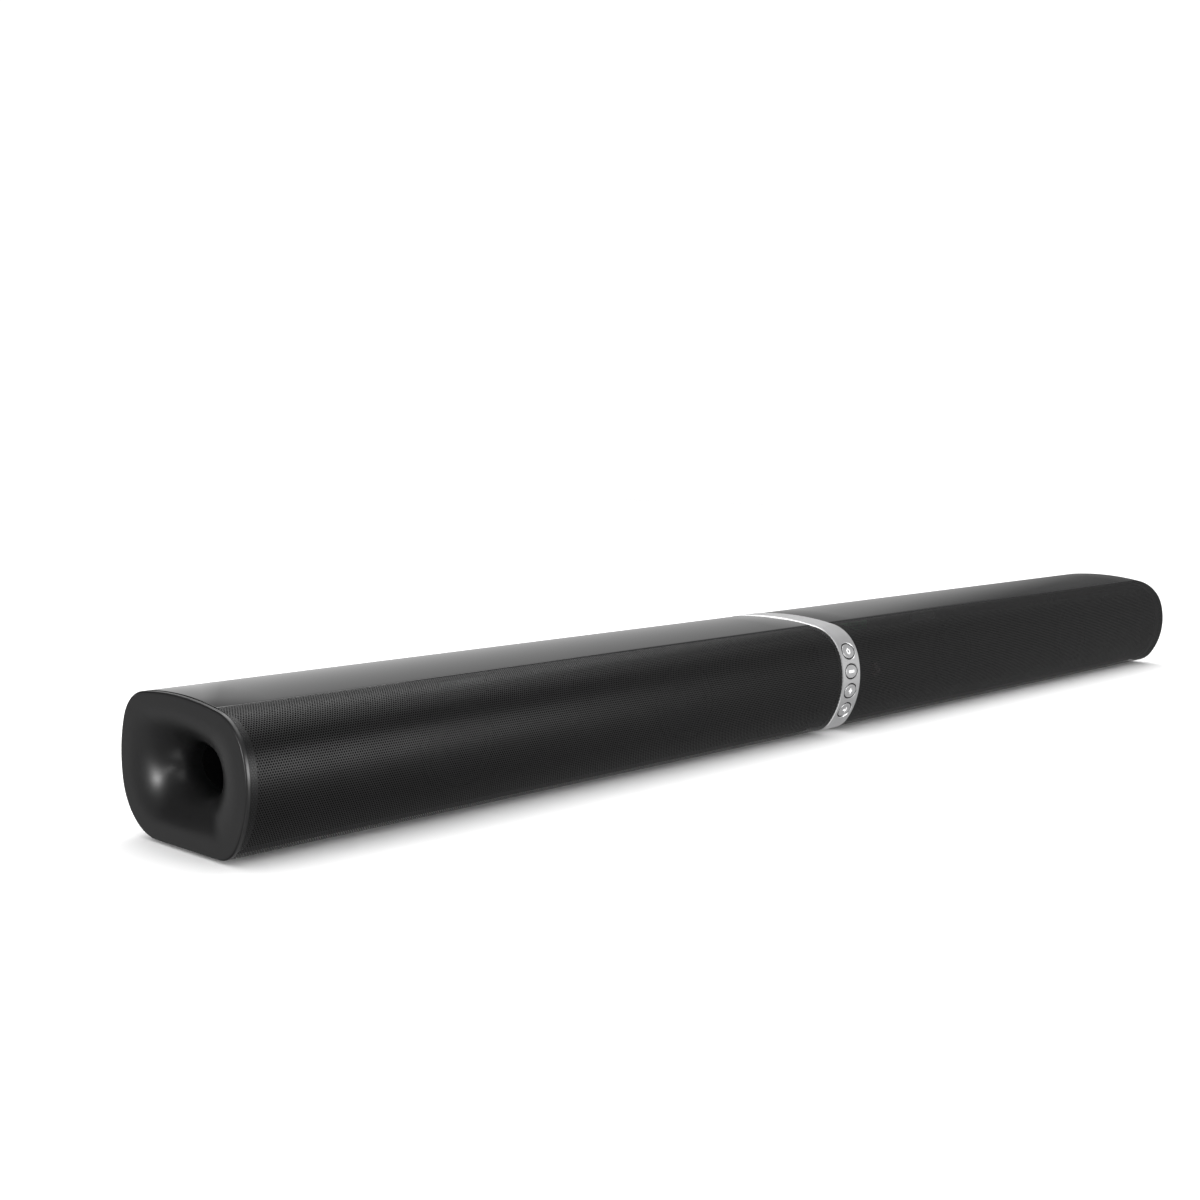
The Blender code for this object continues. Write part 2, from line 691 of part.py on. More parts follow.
def half_roll(middle, depth, half_width, rise, points):
    """(radius, depth) points of a half roll that rises to the front, from its outer to its inner edge."""
    angles = np.linspace(0.0, math.pi, points)
    return [(middle + half_width * math.cos(turn), depth - rise * math.sin(turn)) for turn in angles]


def make_driver(name, x, shaders):
    """One full-range driver: basket, magnet with its coil gap, half-roll surround and the moving cone."""
    centre = (x, BAFFLE_FRONT_Y, MID_Z)
    smooth(turned(f"{name}_basket", BASKET_PROFILE, centre, shaders["steel"]))
    smooth(turned(f"{name}_magnet", MAGNET_PROFILE, centre, shaders["ferrite"]))
    roll = half_roll(*ROLL_FRONT, 5) + half_roll(*ROLL_BACK, 3)[::-1]
    smooth(turned(f"{name}_surround", roll, centre, shaders["rubber"]), 60)
    created = turned(f"{name}_cone", CONE_PROFILE, centre, shaders["cone"])
    smooth(created)
    place_origin(created, centre)


# ---------------------------------------------------------------- electronics


def make_main_board(shaders):
    """The amplifier board with its heatsink, two capacitors and the shielded wireless module."""
    back = MAIN_BOARD_Y + BOARD_WALL
    box(
        "main_board",
        (MAIN_BOARD_X[0], MAIN_BOARD_Y, MAIN_BOARD_Z[0]),
        (MAIN_BOARD_X[1], back, MAIN_BOARD_Z[1]),
        shaders["board"],
    )
    front = MAIN_BOARD_Y - GAP
    base = front - HEATSINK_BASE
    outline = [(HEATSINK_LEFT, front)]
    for fin in range(FIN_COUNT):
        x = HEATSINK_LEFT + fin * FIN_PITCH
        outline += [(x, base - FIN_DEPTH), (x + FIN_THICKNESS, base - FIN_DEPTH)]
        if fin < FIN_COUNT - 1:
            outline += [(x + FIN_THICKNESS, base), (x + FIN_PITCH, base)]
    outline.append((outline[-1][0], front))
    prism("heatsink", outline, "z", *HEATSINK_Z, shaders["aluminium"])
    for letter, x in CAPACITOR_X.items():
        centre = (x, front, CAPACITOR_Z)
        can = turned(f"filter_capacitor_{letter}", CAPACITOR_PROFILE, centre, shaders["sleeve"], HOLE_POINTS)
        smooth(can)
    low = (MODULE_X[0], front - MODULE_DEPTH, MODULE_Z[0])
    module = box("wireless_module", low, (MODULE_X[1], front, MODULE_Z[1]), shaders["steel"])
    edge = module.modifiers.new("edges", "BEVEL")
    edge.width = MODULE_EDGE
    edge.segments = 1


def tray_loop(y, half_width, half_height):
    """A rectangle with round corners about the socket panel's middle."""
    points = []
    for quarter, (sign_x, sign_z) in enumerate(((1, 1), (-1, 1), (-1, -1), (1, -1))):
        for angle in np.linspace(0.0, math.pi / 2, IO_CORNER_POINTS) + quarter * math.pi / 2:
            x = IO_CENTRE_X + sign_x * (half_width - IO_CORNER) + IO_CORNER * math.cos(angle)
            z = MID_Z + sign_z * (half_height - IO_CORNER) + IO_CORNER * math.sin(angle)
            points.append((x, y, z))
    return np.array(points)


def make_io_panel(shell, shaders):
    """A sunken tray in the right half's back, whose floor holds the sockets."""
    wide = IO_HALF_WIDTH
    tall = IO_HALF_HEIGHT
    floor = IO_PLATE_Y + IO_WALL
    loops = [
        tray_loop(floor, wide - IO_WALL, tall - IO_WALL),
        tray_loop(IO_MOUTH_Y, wide - IO_WALL, tall - IO_WALL),
        tray_loop(IO_MOUTH_Y, wide, tall),
        tray_loop(floor, wide, tall),
        tray_loop(floor, wide + IO_FLANGE, tall + IO_FLANGE),
        tray_loop(IO_PLATE_Y, wide + IO_FLANGE, tall + IO_FLANGE),
    ]
    panel = loft("io_panel", loops, shaders["satin"])
    window = [tray_loop(y, wide + GAP, tall + GAP) for y in IO_CUT_Y]
    cut(shell, loft("io_window_cutter", window, shaders["shell"]))
    return panel


def make_round_jack(panel, name, shaders, pin=0.0):
    """A barrel socket on the main board that shows through the tray's floor, with or without a pin."""
    start = MAIN_BOARD_Y + BOARD_WALL + GAP
    depth = JACK_FRONT_Y - start
    barrel = JACK_BARREL[name]
    bore = JACK_BORE[name]
    profile = [(0.0, 0.0), (barrel, 0.0), (barrel, depth), (bore, depth), (bore, JACK_FLOOR)]
    if pin:
        tip = depth - DC_PIN_SET_BACK
        profile += [(pin, JACK_FLOOR), (pin, tip), (0.0, tip)]
    else:
        profile.append((0.0, JACK_FLOOR))
    centre = (JACK_X[name], start, MID_Z)
    smooth(turned(f"{name}_jack", profile, centre, shaders["switch"], HOLE_POINTS))
    hole = oval(barrel + GAP, barrel + GAP, MID_Z, HOLE_POINTS) + (JACK_X[name], 0.0)
    span = (IO_PLATE_Y - CUTTER_REACH, IO_PLATE_Y + CUTTER_REACH)
    cut(panel, prism(f"{name}_jack_cutter", hole, "y", *span, shaders["satin"]))


def make_optical_jack(panel, shaders):
    """A square optical socket whose spring door stands closed just inside its mouth."""
    start = MAIN_BOARD_Y + BOARD_WALL + GAP
    x = JACK_X["optical"]

    def square(y, side):
        corners = ((-side, -side), (side, -side), (side, side), (-side, side))
        return [(x + across, y, MID_Z + up) for across, up in corners]

    loops = [
        square(start, OPTICAL_HALF_SIDE),
        square(JACK_FRONT_Y, OPTICAL_HALF_SIDE),
        square(JACK_FRONT_Y, OPTICAL_HALF_MOUTH),
        square(JACK_FRONT_Y - OPTICAL_DOOR_DEPTH, OPTICAL_HALF_MOUTH),
    ]
    loft("optical_jack", loops, shaders["switch"])
    reach = OPTICAL_HALF_SIDE + GAP
    low = (x - reach, IO_PLATE_Y - CUTTER_REACH, MID_Z - reach)
    high = (x + reach, IO_PLATE_Y + CUTTER_REACH, MID_Z + reach)
    cut(panel, box("optical_jack_cutter", low, high, shaders["satin"]))


def make_ir_receiver(shader):
    """The remote control's receiver: a small moulded block on the right baffle with a domed lens."""
    centre = (RECEIVER_X, BAFFLE_FRONT_Y, MID_Z)
    smooth(turned("ir_receiver", RECEIVER_PROFILE, centre, shader, HOLE_POINTS))


def make_lead(side, shader):
    """One half's round lead from the main board, on a smooth curve through its route's points."""
    knots = np.array(LEAD_ROUTES[side])
    spans = np.concatenate([[0.0], np.cumsum(np.linalg.norm(np.diff(knots, axis=0), axis=1))])
    slopes = np.gradient(knots, spans, axis=0)
    path = []
    for i, width in enumerate(np.diff(spans)):
        count = max(2, round(width / LEAD_STEP))
        t = np.arange(count)[:, None] / count
        path.append(
            (2 * t**3 - 3 * t**2 + 1) * knots[i]
            + (t**3 - 2 * t**2 + t) * width * slopes[i]
            + (3 * t**2 - 2 * t**3) * knots[i + 1]
            + (t**3 - t**2) * width * slopes[i + 1]
        )
    path = np.concatenate([*path, knots[-1:]])
    name = f"{side}_speaker_lead"
    curve = bpy.data.curves.new(name, "CURVE")
    curve.dimensions = "3D"
    curve.bevel_depth = LEAD_RADIUS
    curve.bevel_resolution = 1
    curve.use_fill_caps = True
    spline = curve.splines.new("POLY")
    spline.points.add(len(path) - 1)
    for point, place in zip(spline.points, path, strict=True):
        point.co = (*place, 1.0)
    curve.materials.append(shader)
    bpy.context.scene.collection.objects.link(bpy.data.objects.new(name, curve))


# ---------------------------------------------------------------- hangers and feet


def keyhole(side):
    """(x, z) points of a keyhole: a round hole with a narrower slot rising to a round end."""
    half = math.asin(KEYHOLE_SLOT / KEYHOLE_RADIUS)
    lower = np.linspace(math.pi / 2 + half, 2.5 * math.pi - half, HOLE_POINTS)
    upper = np.linspace(0.0, math.pi, HOLE_POINTS // 2)
    low = np.column_stack([np.cos(lower), np.sin(lower)]) * KEYHOLE_RADIUS
    high = np.column_stack([np.cos(upper), np.sin(upper)]) * KEYHOLE_SLOT + (0.0, KEYHOLE_RISE)
    return np.concatenate([low, high]) + (side * HANGER_X, HANGER_Z - KEYHOLE_DROP)


def make_hanger(name, side, shell, shaders):
    """A steel keyhole plate whose raised pad stands in a window in the shell's back."""
    x = side * HANGER_X

    def rectangle(y, half_sides):
        wide, tall = half_sides
        corners = ((-wide, -tall), (wide, -tall), (wide, tall), (-wide, tall))
        return [(x + across, y, HANGER_Z + up) for across, up in corners]

    flange = HANGER_FACE_Y - HANGER_PAD_RISE
    loops = [
        rectangle(flange - HANGER_WALL, HANGER_HALF_SIDE),
        rectangle(flange, HANGER_HALF_SIDE),
        rectangle(flange, HANGER_PAD),
        rectangle(HANGER_FACE_Y, HANGER_PAD),
    ]
    plate = loft(f"{name}_hanger_plate", loops, shaders["steel"])
    reach = (flange - HANGER_WALL - CUTTER_REACH, HANGER_FACE_Y + CUTTER_REACH)
    cut(plate, prism(f"{name}_keyhole_cutter", keyhole(side), "y", *reach, shaders["steel"]))
    window = [rectangle(y, HANGER_WINDOW) for y in (flange - CUTTER_REACH, HANGER_FACE_Y + 2 * CUTTER_REACH)]
    cut(shell, loft(f"{name}_hanger_window_cutter", window, shaders["shell"]))


def make_foot(name, x, y, shader):
    """A round rubber foot with an eased lower edge, stuck under the shell."""
    angles = np.arange(HOLE_POINTS) * 2 * math.pi / HOLE_POINTS
    loops = []
    steps = ((FOOT_RADIUS - FOOT_EASE, 0.0), (FOOT_RADIUS, FOOT_EASE), (FOOT_RADIUS, FOOT_HEIGHT - GAP))
    for radius, z in steps:
        circle = np.stack([np.cos(angles), np.sin(angles)], axis=1) * radius + (x, y)
        loops.append(np.column_stack([circle, np.full(len(circle), z)]))
    loft(name, loops, shader)


def main():
    for leftover in list(bpy.data.objects):
        bpy.data.objects.remove(leftover, do_unlink=True)
    shaders = make_materials()
    shells = {}
    for name, side in SIDES.items():
        shells[name] = make_skins(name, side, shaders)
        make_end_cap(name, side, shaders["satin"])
        make_port_tube(name, side, shaders["frame"])
        make_bulkhead(name, side, shaders["frame"])
        make_baffle(name, side, shaders["wood"])
        make_hanger(name, side, shells[name], shaders)
        make_lead(name, shaders["lead"])
        for place, x in DRIVER_X.items():
            make_driver(f"{name}_{place}", side * x, shaders)
        for end, y in zip(("front", "back"), FOOT_Y, strict=True):
            make_foot(f"{name}_{end}_foot", side * FOOT_X, y, shaders["rubber"])
    make_control_ring(shaders["silver"])
    make_centre_frame(shaders["frame"])
    make_button_board(shaders["board"])
    for index, name in enumerate(BUTTON_NAMES):
        height = TOP_BUTTON_Z - index * BUTTON_PITCH + FOOT_HEIGHT
        make_button(name, height, shaders["silver"])
        make_button_switch(name, height, shaders["switch"])
    make_main_board(shaders)
    panel = make_io_panel(shells["right"], shaders)
    make_round_jack(panel, "dc", shaders, pin=DC_PIN_RADIUS)
    make_round_jack(panel, "aux", shaders)
    make_round_jack(panel, "coaxial", shaders)
    make_optical_jack(panel, shaders)
    make_ir_receiver(shaders["switch"])


main()
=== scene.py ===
"""The finished look of a soundbar in two halves joined by a control ring, laid out as an add-on.

The bar lies along X with its front towards -Y and its feet on z = 0. Its cross-section is one outline of
tangent arcs, and every skin is a stretch of that outline between two seams. All lengths are in metres.
"""

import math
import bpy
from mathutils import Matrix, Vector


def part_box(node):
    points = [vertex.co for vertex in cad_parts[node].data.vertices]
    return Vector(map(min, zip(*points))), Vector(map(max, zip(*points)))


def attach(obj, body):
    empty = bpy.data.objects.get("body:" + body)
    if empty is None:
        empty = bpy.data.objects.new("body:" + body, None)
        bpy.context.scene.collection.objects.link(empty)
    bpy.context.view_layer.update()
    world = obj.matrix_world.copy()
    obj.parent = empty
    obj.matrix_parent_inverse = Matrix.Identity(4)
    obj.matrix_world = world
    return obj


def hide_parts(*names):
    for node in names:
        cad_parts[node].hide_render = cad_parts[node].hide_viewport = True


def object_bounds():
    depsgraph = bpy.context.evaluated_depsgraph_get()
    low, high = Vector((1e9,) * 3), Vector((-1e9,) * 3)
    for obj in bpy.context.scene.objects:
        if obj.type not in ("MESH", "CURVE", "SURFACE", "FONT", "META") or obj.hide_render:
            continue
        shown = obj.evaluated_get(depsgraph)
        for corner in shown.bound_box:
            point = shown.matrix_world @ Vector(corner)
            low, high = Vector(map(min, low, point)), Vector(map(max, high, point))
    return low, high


bl_info = {
    "name": "Soundbar finish",
    "version": (1, 0, 0),
    "blender": (4, 5, 0),
    "location": "3D View > Sidebar > Soundbar",
    "description": "Makes the finished skins, end caps, control ring and studio of a soundbar",
    "category": "Object",
}

import bmesh
import bpy
import numpy as np
from bpy.props import FloatProperty, FloatVectorProperty, IntProperty, PointerProperty
from mathutils import Vector

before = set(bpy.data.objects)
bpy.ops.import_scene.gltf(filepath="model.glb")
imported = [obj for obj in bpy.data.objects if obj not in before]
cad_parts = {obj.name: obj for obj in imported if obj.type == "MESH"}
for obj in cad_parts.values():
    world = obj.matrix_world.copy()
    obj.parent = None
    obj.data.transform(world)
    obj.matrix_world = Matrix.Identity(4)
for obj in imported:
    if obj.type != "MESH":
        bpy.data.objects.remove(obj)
CAD_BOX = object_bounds()

HOUSING = "housing"
SIDES = {"left": -1, "right": 1}
BUTTON_NAMES = ("power", "minus", "plus", "source")
HALF_LENGTH = float(CAD_BOX[1][0])

ARC_POINTS = 500
FLAT_POINTS = 60
EASE_POINTS = 5
SAME_POINT = 1e-6
SHARP_ANGLE = 40.0
MIX_FACTOR, MIX_A, MIX_B, MIX_RESULT = 0, 6, 7, 2

# Area lamps: name, place, the point it faces, its two sizes, all in metres, and its power in watts
LAMPS = (
    ("left_softbox", (-1.75, 0.21, 0.16), (-0.47, 0.0, 0.04), (0.25, 0.25), 6.0),
    ("side_softbox", (-1.45, -0.30, 0.16), (-0.47, 0.0, 0.04), (0.9, 0.12), 1.6),
    ("front_softbox", (0.15, -1.2, 0.12), (-0.30, 0.0, 0.04), (0.7, 0.3), 9.0),
    ("rear_softbox", (0.4, 0.9, 1.5), (0.0, 0.0, 0.0), (1.8, 0.8), 12.0),
    ("overhead_softbox", (0.1, 0.1, 1.5), (0.0, 0.0, 0.0), (2.0, 1.0), 12.0),
)

# What glossy parts mirror: the tone at each azimuth in degrees, just above the horizon, below it, and steeply
# up or down. Each START pair is where the next tone's share of the direction's upward part starts and ends.
HORIZON_TONES = (
    (-180.0, 0.20),
    (-120.0, 0.30),
    (-60.0, 0.55),
    (-20.0, 0.58),
    (5.0, 0.35),
    (22.0, 0.12),
    (27.0, 0.15),
    (33.0, 0.46),
    (45.0, 0.58),
    (57.6, 0.72),
    (58.0, 0.42),
    (58.6, 0.92),
    (64.0, 0.90),
    (70.0, 0.40),
    (95.0, 0.10),
    (115.0, 0.03),
    (150.0, 0.05),
    (180.0, 0.20),
)
LOW_TONES = (
    (-180.0, 0.15),
    (-120.0, 0.30),
    (-60.0, 0.55),
    (-20.0, 0.58),
    (5.0, 0.35),
    (60.0, 0.30),
    (95.0, 0.36),
    (125.0, 0.36),
    (150.0, 0.18),
    (180.0, 0.15),
)
LOW_START = (-0.12, 0.02)
STEEP_TONES = (
    (-180.0, 0.10),
    (-155.0, 0.30),
    (-145.0, 1.00),
    (-115.0, 1.00),
    (-100.0, 0.50),
    (-65.0, 0.22),
    (-25.0, 0.50),
    (0.0, 0.55),
    (45.0, 0.50),
    (70.0, 0.20),
    (90.0, 0.08),
    (180.0, 0.06),
)
STEEP_START = (0.36, 0.58)


# ---------------------------------------------------------------- sizes and colours


def length(name, default, description):
    """A length property in metres, shown to a hundredth of a millimetre."""
    return FloatProperty(
        name=name, description=description, default=default, min=-2.0, max=2.0, precision=5, unit="LENGTH"
    )


def colour(name, default, description):
    """A colour property in linear light."""
    return FloatVectorProperty(
        name=name, description=description, default=default, size=3, min=0.0, max=1.0, subtype="COLOR"
    )


class SoundbarSection(bpy.types.PropertyGroup):
    """The bar's cross-section and the seams between its skins."""

    height: length("Height", 0.074, "Height of the outline, without the feet")
    foot_height: length("Foot height", 0.0015, "How far the feet lift the outline")
    gap: length("Gap", 0.0003, "Clearance between neighbouring parts")
    crown_radius: length("Crown radius", 0.220, "Radius of the shallow crown on top")
    front_reach: length("Front reach", 0.0631, "From the crown's top to the front of the bulge")
    front_bulge: length("Front bulge", 0.0506, "Radius of the front's bulge")
    front_bulge_height: length("Front bulge height", 0.0377, "Height of the bulge's centre")
    front_bottom: length("Front bottom corner", 0.0184, "Radius of the front's bottom corner")
    front_top: length("Front top corner", 0.0264, "Radius of the front's top corner")
    back_reach: length("Back reach", 0.0477, "From the crown's top to the back of the bulge")
    back_bulge: length("Back bulge", 0.0633, "Radius of the back's bulge")
    back_bulge_height: length("Back bulge height", 0.0370, "Height of the bulge's centre")
    back_bottom: length("Back bottom corner", 0.0311, "Radius of the back's bottom corner")
    back_top: length("Back top corner", 0.0222, "Radius of the back's top corner")
    top_front_seam: length("Top front seam", -0.0291, "Y of the seam between the top panel and the grille")
    top_back_seam: length("Top back seam", 0.0300, "Y of the seam between the top panel and the shell")
    under_seam: length("Under seam", -0.0266, "Y of the seam between the grille and the shell")


class SoundbarSkins(bpy.types.PropertyGroup):
    """The top panels, the rear shells and the feet."""

    panel_wall: length("Panel wall", 0.0020, "Thickness of the gloss top panel")
    panel_proud: length("Panel rise", 0.0003, "How far the top panel stands above the outline")
    panel_ease: length("Panel easing", 0.0005, "Radius on the top panel's edges")
    shell_wall: length("Shell wall", 0.0025, "Thickness of the rear shell")
    shell_ease: length("Shell easing", 0.0003, "Radius on the rear shell's edges")
    socket_x: length("Socket middle", 0.080, "X of the middle of the socket recess")
    socket_half_width: length("Socket half width", 0.042, "Half the width of the socket recess")
    socket_half_height: length("Socket half height", 0.013, "Half the height of the socket recess")
    socket_corner: length("Socket corner", 0.0030, "Radius of the socket recess's corners")
    hanger_x: length("Hanger place", 0.250, "X of each wall hanger's middle")
    hanger_z: length("Hanger height", 0.040, "Z of each wall hanger's middle")
    hanger_half_width: length("Hanger half width", 0.0110, "Half the width of a hanger's window")
    hanger_half_height: length("Hanger half height", 0.0100, "Half the height of a hanger's window")
    foot_radius: length("Foot radius", 0.0060, "Radius of a rubber foot")
    foot_ease: length("Foot easing", 0.0005, "Radius on a foot's lower edge")


class SoundbarGrille(bpy.types.PropertyGroup):
    """The perforated sheet round the front."""

    pitch: length("Pitch", 0.00143, "Distance between the holes of one row")
    hole_radius: length("Hole radius", 0.00050, "Radius of one hole")
    border: length("Border", 0.0006, "Plain strip along each seam")
    fold: length("Fold", 0.0016, "How far the sheet turns inwards at each seam")
    parts: IntProperty(name="Parts", description="Pieces that one half's sheet is made in", default=3, min=1)


class SoundbarCap(bpy.types.PropertyGroup):
    """The end caps, each with a horn that flares from the bass port."""

    rim_width: length("Rim width", 0.0021, "How much of the bar's length the rim covers")
    rim_round: length("Rim rounding", 0.0009, "Radius between the rim and the face")
    face: length("Face width", 0.0070, "Distance from the outline to where the horn starts")
    horn_depth: length("Horn depth", 0.0200, "Depth of the flare")
    throat_half_width: length("Throat half width", 0.0190, "Half the throat's size along Y")
    throat_half_height: length("Throat half height", 0.0120, "Half the throat's size along Z")
    throat_end: length("Throat end", 0.0240, "Depth where the cap ends and the port tube starts")
    wall: length("Wall", 0.0022, "Thickness of the moulding")
    spigot_depth: length("Spigot depth", 0.0080, "How far the cap plugs into the skins")
    spigot_wall: length("Spigot wall", 0.0020, "Thickness of the plugged part")


class SoundbarRing(bpy.types.PropertyGroup):
    """The metal control ring and its four buttons."""

    width: length("Width", 0.0201, "Width of the band along the bar")
    wall: length("Wall", 0.0022, "Thickness of the band below the outline")
    proud: length("Rise", 0.0004, "How far the band stands above the outline")
    chamfer: length("Chamfer", 0.0006, "Size of the bright chamfer on each edge")
    top_button: length("Top button", 0.0561, "Height of the highest button above the floor")
    button_pitch: length("Button pitch", 0.0131, "Distance between neighbouring buttons")
    hole_half_width: length("Hole half width", 0.0070, "Half a button hole's size along X")
    hole_half_height: length("Hole half height", 0.0052, "Half a button hole's size along Z")
    button_half_width: length("Button half width", 0.0063, "Half a button's size along X")
    button_half_height: length("Button half height", 0.0045, "Half a button's size along Z")
    button_round: length("Button rounding", 0.0006, "Radius round a button's edge")
    hole_chamfer: length("Hole chamfer", 0.00035, "Bright chamfer round each button hole")
    flange: length("Button flange", 0.0011, "Flange that keeps a button behind the ring")
    dish: length("Button dish", 0.00012, "How far a button's middle is hollowed")
    stem_radius: length("Stem radius", 0.0018, "Radius of the stem behind a button")
    stem_end: length("Stem end", -0.0452, "Y where a button's stem meets its switch")
    icon_stroke: length("Icon stroke", 0.00090, "Width of an icon's thinnest strokes")
    icon_rise: length("Icon rise", 0.00006, "Thickness of the printed icons")


class SoundbarFinishes(bpy.types.PropertyGroup):
    """The colours of the parts that show."""

    grille: colour("Grille", (0.005, 0.005, 0.0052), "Powder coat on the perforated sheet")
    gloss: colour("Top panel", (0.005, 0.005, 0.0052), "Polished black of the top panels")
    cap: colour("End caps", (0.008, 0.008, 0.0083), "Satin black of the end caps")
    shell: colour("Rear shells", (0.010, 0.010, 0.0105), "Textured black of the rear shells")
    silver: colour("Ring", (0.60, 0.60, 0.605), "Satin metal of the control ring")
    button: colour("Buttons", (0.46, 0.46, 0.465), "Painted silver of the buttons")
    icon: colour("Icons", (0.78, 0.78, 0.78), "White print of the icons")


class SoundbarStage(bpy.types.PropertyGroup):
    """The floor, the lights and the camera."""

    floor_size: length("Floor size", 6.0, "Side of the square floor")
    floor: colour("Floor", (0.96, 0.96, 0.96), "Pale floor")
    camera_place: FloatVectorProperty(
        name="Camera place",
        description="Where the camera stands",
        default=(-0.8672, -0.6590, 0.1961),
        unit="LENGTH",
    )
    camera_turn: FloatVectorProperty(
        name="Camera turn",
        description="The camera's rotation",
        default=(math.radians(84.224), 0.0, math.radians(-46.09)),
        unit="ROTATION",
    )
    lens: FloatProperty(name="Lens", description="Focal length in millimetres", default=47.706, min=1.0)
    backdrop: FloatProperty(name="Backdrop", description="Brightness of the white surroundings", default=1.10)
    mirrored: FloatProperty(name="Mirrored", description="Strength of what glossy parts mirror", default=1.0)


GROUPS = {
    "soundbar_section": SoundbarSection,
    "soundbar_skins": SoundbarSkins,
    "soundbar_grille": SoundbarGrille,
    "soundbar_cap": SoundbarCap,
    "soundbar_ring": SoundbarRing,
    "soundbar_finishes": SoundbarFinishes,
    "soundbar_stage": SoundbarStage,
}


# ---------------------------------------------------------------- the cross-section


class Outline:
    """The bar's cross-section as one closed path, from the crown's top forwards, under and back up.

    Each side is a crown arc, a top corner arc, a bulge arc and a bottom corner arc, each tangent to the next,
    then the flat underside. The top corner's centre is where two circles meet: one about the crown's centre
    and one about the bulge's, each with that arc's radius less the corner's.
    """

    def __init__(self, section):
        """Lays the path out and finds its seams."""
        self.section = section
        self.mid_z = section.foot_height + section.height / 2
        front = self.half(-1, "front")
        back = self.half(1, "back")
        points, normals = (np.concatenate([a, b[::-1]]) for a, b in zip(front, back, strict=True))
        steps = np.hypot(*np.diff(points, axis=0).T)
        keep = np.concatenate([[True], steps > SAME_POINT / 1000])
        self.lengths = np.concatenate([[0.0], np.cumsum(steps)])[keep]
        self.columns = np.column_stack([points, normals])[keep].T
        self.perimeter = self.lengths[-1]
        self.frontmost = self.lengths[np.argmin(self.columns[0])]
        self.backmost = self.lengths[np.argmax(self.columns[0])]
        self.top_front = self.length_at_y(section.top_front_seam, 0.0, self.frontmost)
        self.under = self.length_at_y(section.under_seam, self.frontmost, self.backmost)
        self.top_back = self.length_at_y(section.top_back_seam, self.backmost, self.perimeter)

    def half(self, side, name):
        """Points and outward normals from the crown's top, round one side, to below the crown's top."""
        section = self.section
        reach, bulge, bulge_height, bottom, top = (
            getattr(section, f"{name}_{part}") for part in ("reach", "bulge", "bulge_height", "bottom", "top")
        )
        crown = section.crown_radius
        bulge_centre = np.array([reach - bulge, bulge_height])
        crown_centre = np.array([0.0, section.height - crown])
        across = bulge_centre - crown_centre
        distance = np.hypot(*across)
        along = ((crown - top) ** 2 - (bulge - top) ** 2 + distance**2) / (2 * distance)
        aside = math.sqrt((crown - top) ** 2 - along**2)
        direction = across / distance
        top_centre = crown_centre + along * direction + aside * np.array([direction[1], -direction[0]])
        sideways = math.sqrt((bulge - bottom) ** 2 - (bulge_height - bottom) ** 2)
        bottom_centre = np.array([bulge_centre[0] + sideways, bottom])
        leads = (top_centre - crown_centre, top_centre - bulge_centre, bottom_centre - bulge_centre)
        turns = [math.pi / 2, *(math.atan2(lead[1], lead[0]) for lead in leads), -math.pi / 2]
        arcs = ((crown_centre, crown), (top_centre, top), (bulge_centre, bulge), (bottom_centre, bottom))
        points = []
        normals = []
        for (centre, radius), start, end in zip(arcs, turns[:-1], turns[1:], strict=True):
            angles = np.linspace(start, end, ARC_POINTS)
            normals.append(np.stack([np.cos(angles), np.sin(angles)], axis=1))
            points.append(centre + radius * normals[-1])
        flat = np.linspace(bottom_centre[0], 0.0, FLAT_POINTS)
        points.append(np.stack([flat, np.zeros_like(flat)], axis=1))
        normals.append(np.tile([0.0, -1.0], (len(flat), 1)))
        turn = np.array([side, 1.0])
        apex = (section.front_reach - section.back_reach) / 2
        place = np.array([apex, section.foot_height])
        return np.concatenate(points) * turn + place, np.concatenate(normals) * turn

    def length_at_y(self, y, start, end):
        """Where the path crosses y, between two lengths over which it runs one way."""
        part = (self.lengths >= start) & (self.lengths <= end)
        across = self.columns[0][part]
        order = np.argsort(across)
        return float(np.interp(y, across[order], self.lengths[part][order]))

    def length_at_z(self, heights):
        """Where the front of the path passes these heights."""
        part = (self.lengths > self.top_front / 2) & (self.lengths < self.under)
        heights_along = self.columns[1][part]
        return np.interp(heights, heights_along[::-1], self.lengths[part][::-1])

    def surface(self, x, lengths, inset):
        """Points at x over the path at these lengths, moved inwards by inset; all three broadcast."""
        x, lengths, inset = np.broadcast_arrays(x, np.mod(lengths, self.perimeter), inset)
        y, z, across, up = (np.interp(lengths, self.lengths, column) for column in self.columns)
        return np.stack([x, y - inset * across, z - inset * up], axis=-1)

    def round_loop(self, count):
        """Evenly spaced lengths once round the path."""
        return np.arange(count) * self.perimeter / count


# ---------------------------------------------------------------- meshes from arrays


def grid_faces(rows, columns, wrap_rows=False, wrap_columns=False):
    """Four corner numbers for each cell of a grid of points, wrapping round where asked."""
    index = np.arange(rows * columns).reshape(rows, columns)
    if wrap_rows:
        index = np.vstack([index, index[:1]])
    if wrap_columns:
        index = np.hstack([index, index[:, :1]])
    cells = (index[:-1, :-1], index[:-1, 1:], index[1:, 1:], index[1:, :-1])
    return np.stack(cells, axis=-1).reshape(-1, 4)


def grid(points, wrap_rows=False, wrap_columns=False):
    """A grid of points as (points, faces)."""
    faces = grid_faces(*points.shape[:2], wrap_rows, wrap_columns)
    return points.reshape(-1, 3), faces


def carried(loops):
    """A tube over loops of equal count, closed at both ends by quads between a loop's two halves."""
    rows, count = loops.shape[:2]
    points, faces = grid(loops, wrap_columns=True)
    near = np.arange(count // 2 - 1)
    end = np.stack([near, near + 1, count - 2 - near, count - 1 - near], axis=1)
    return points, np.concatenate([faces, end[:, ::-1], end + (rows - 1) * count])


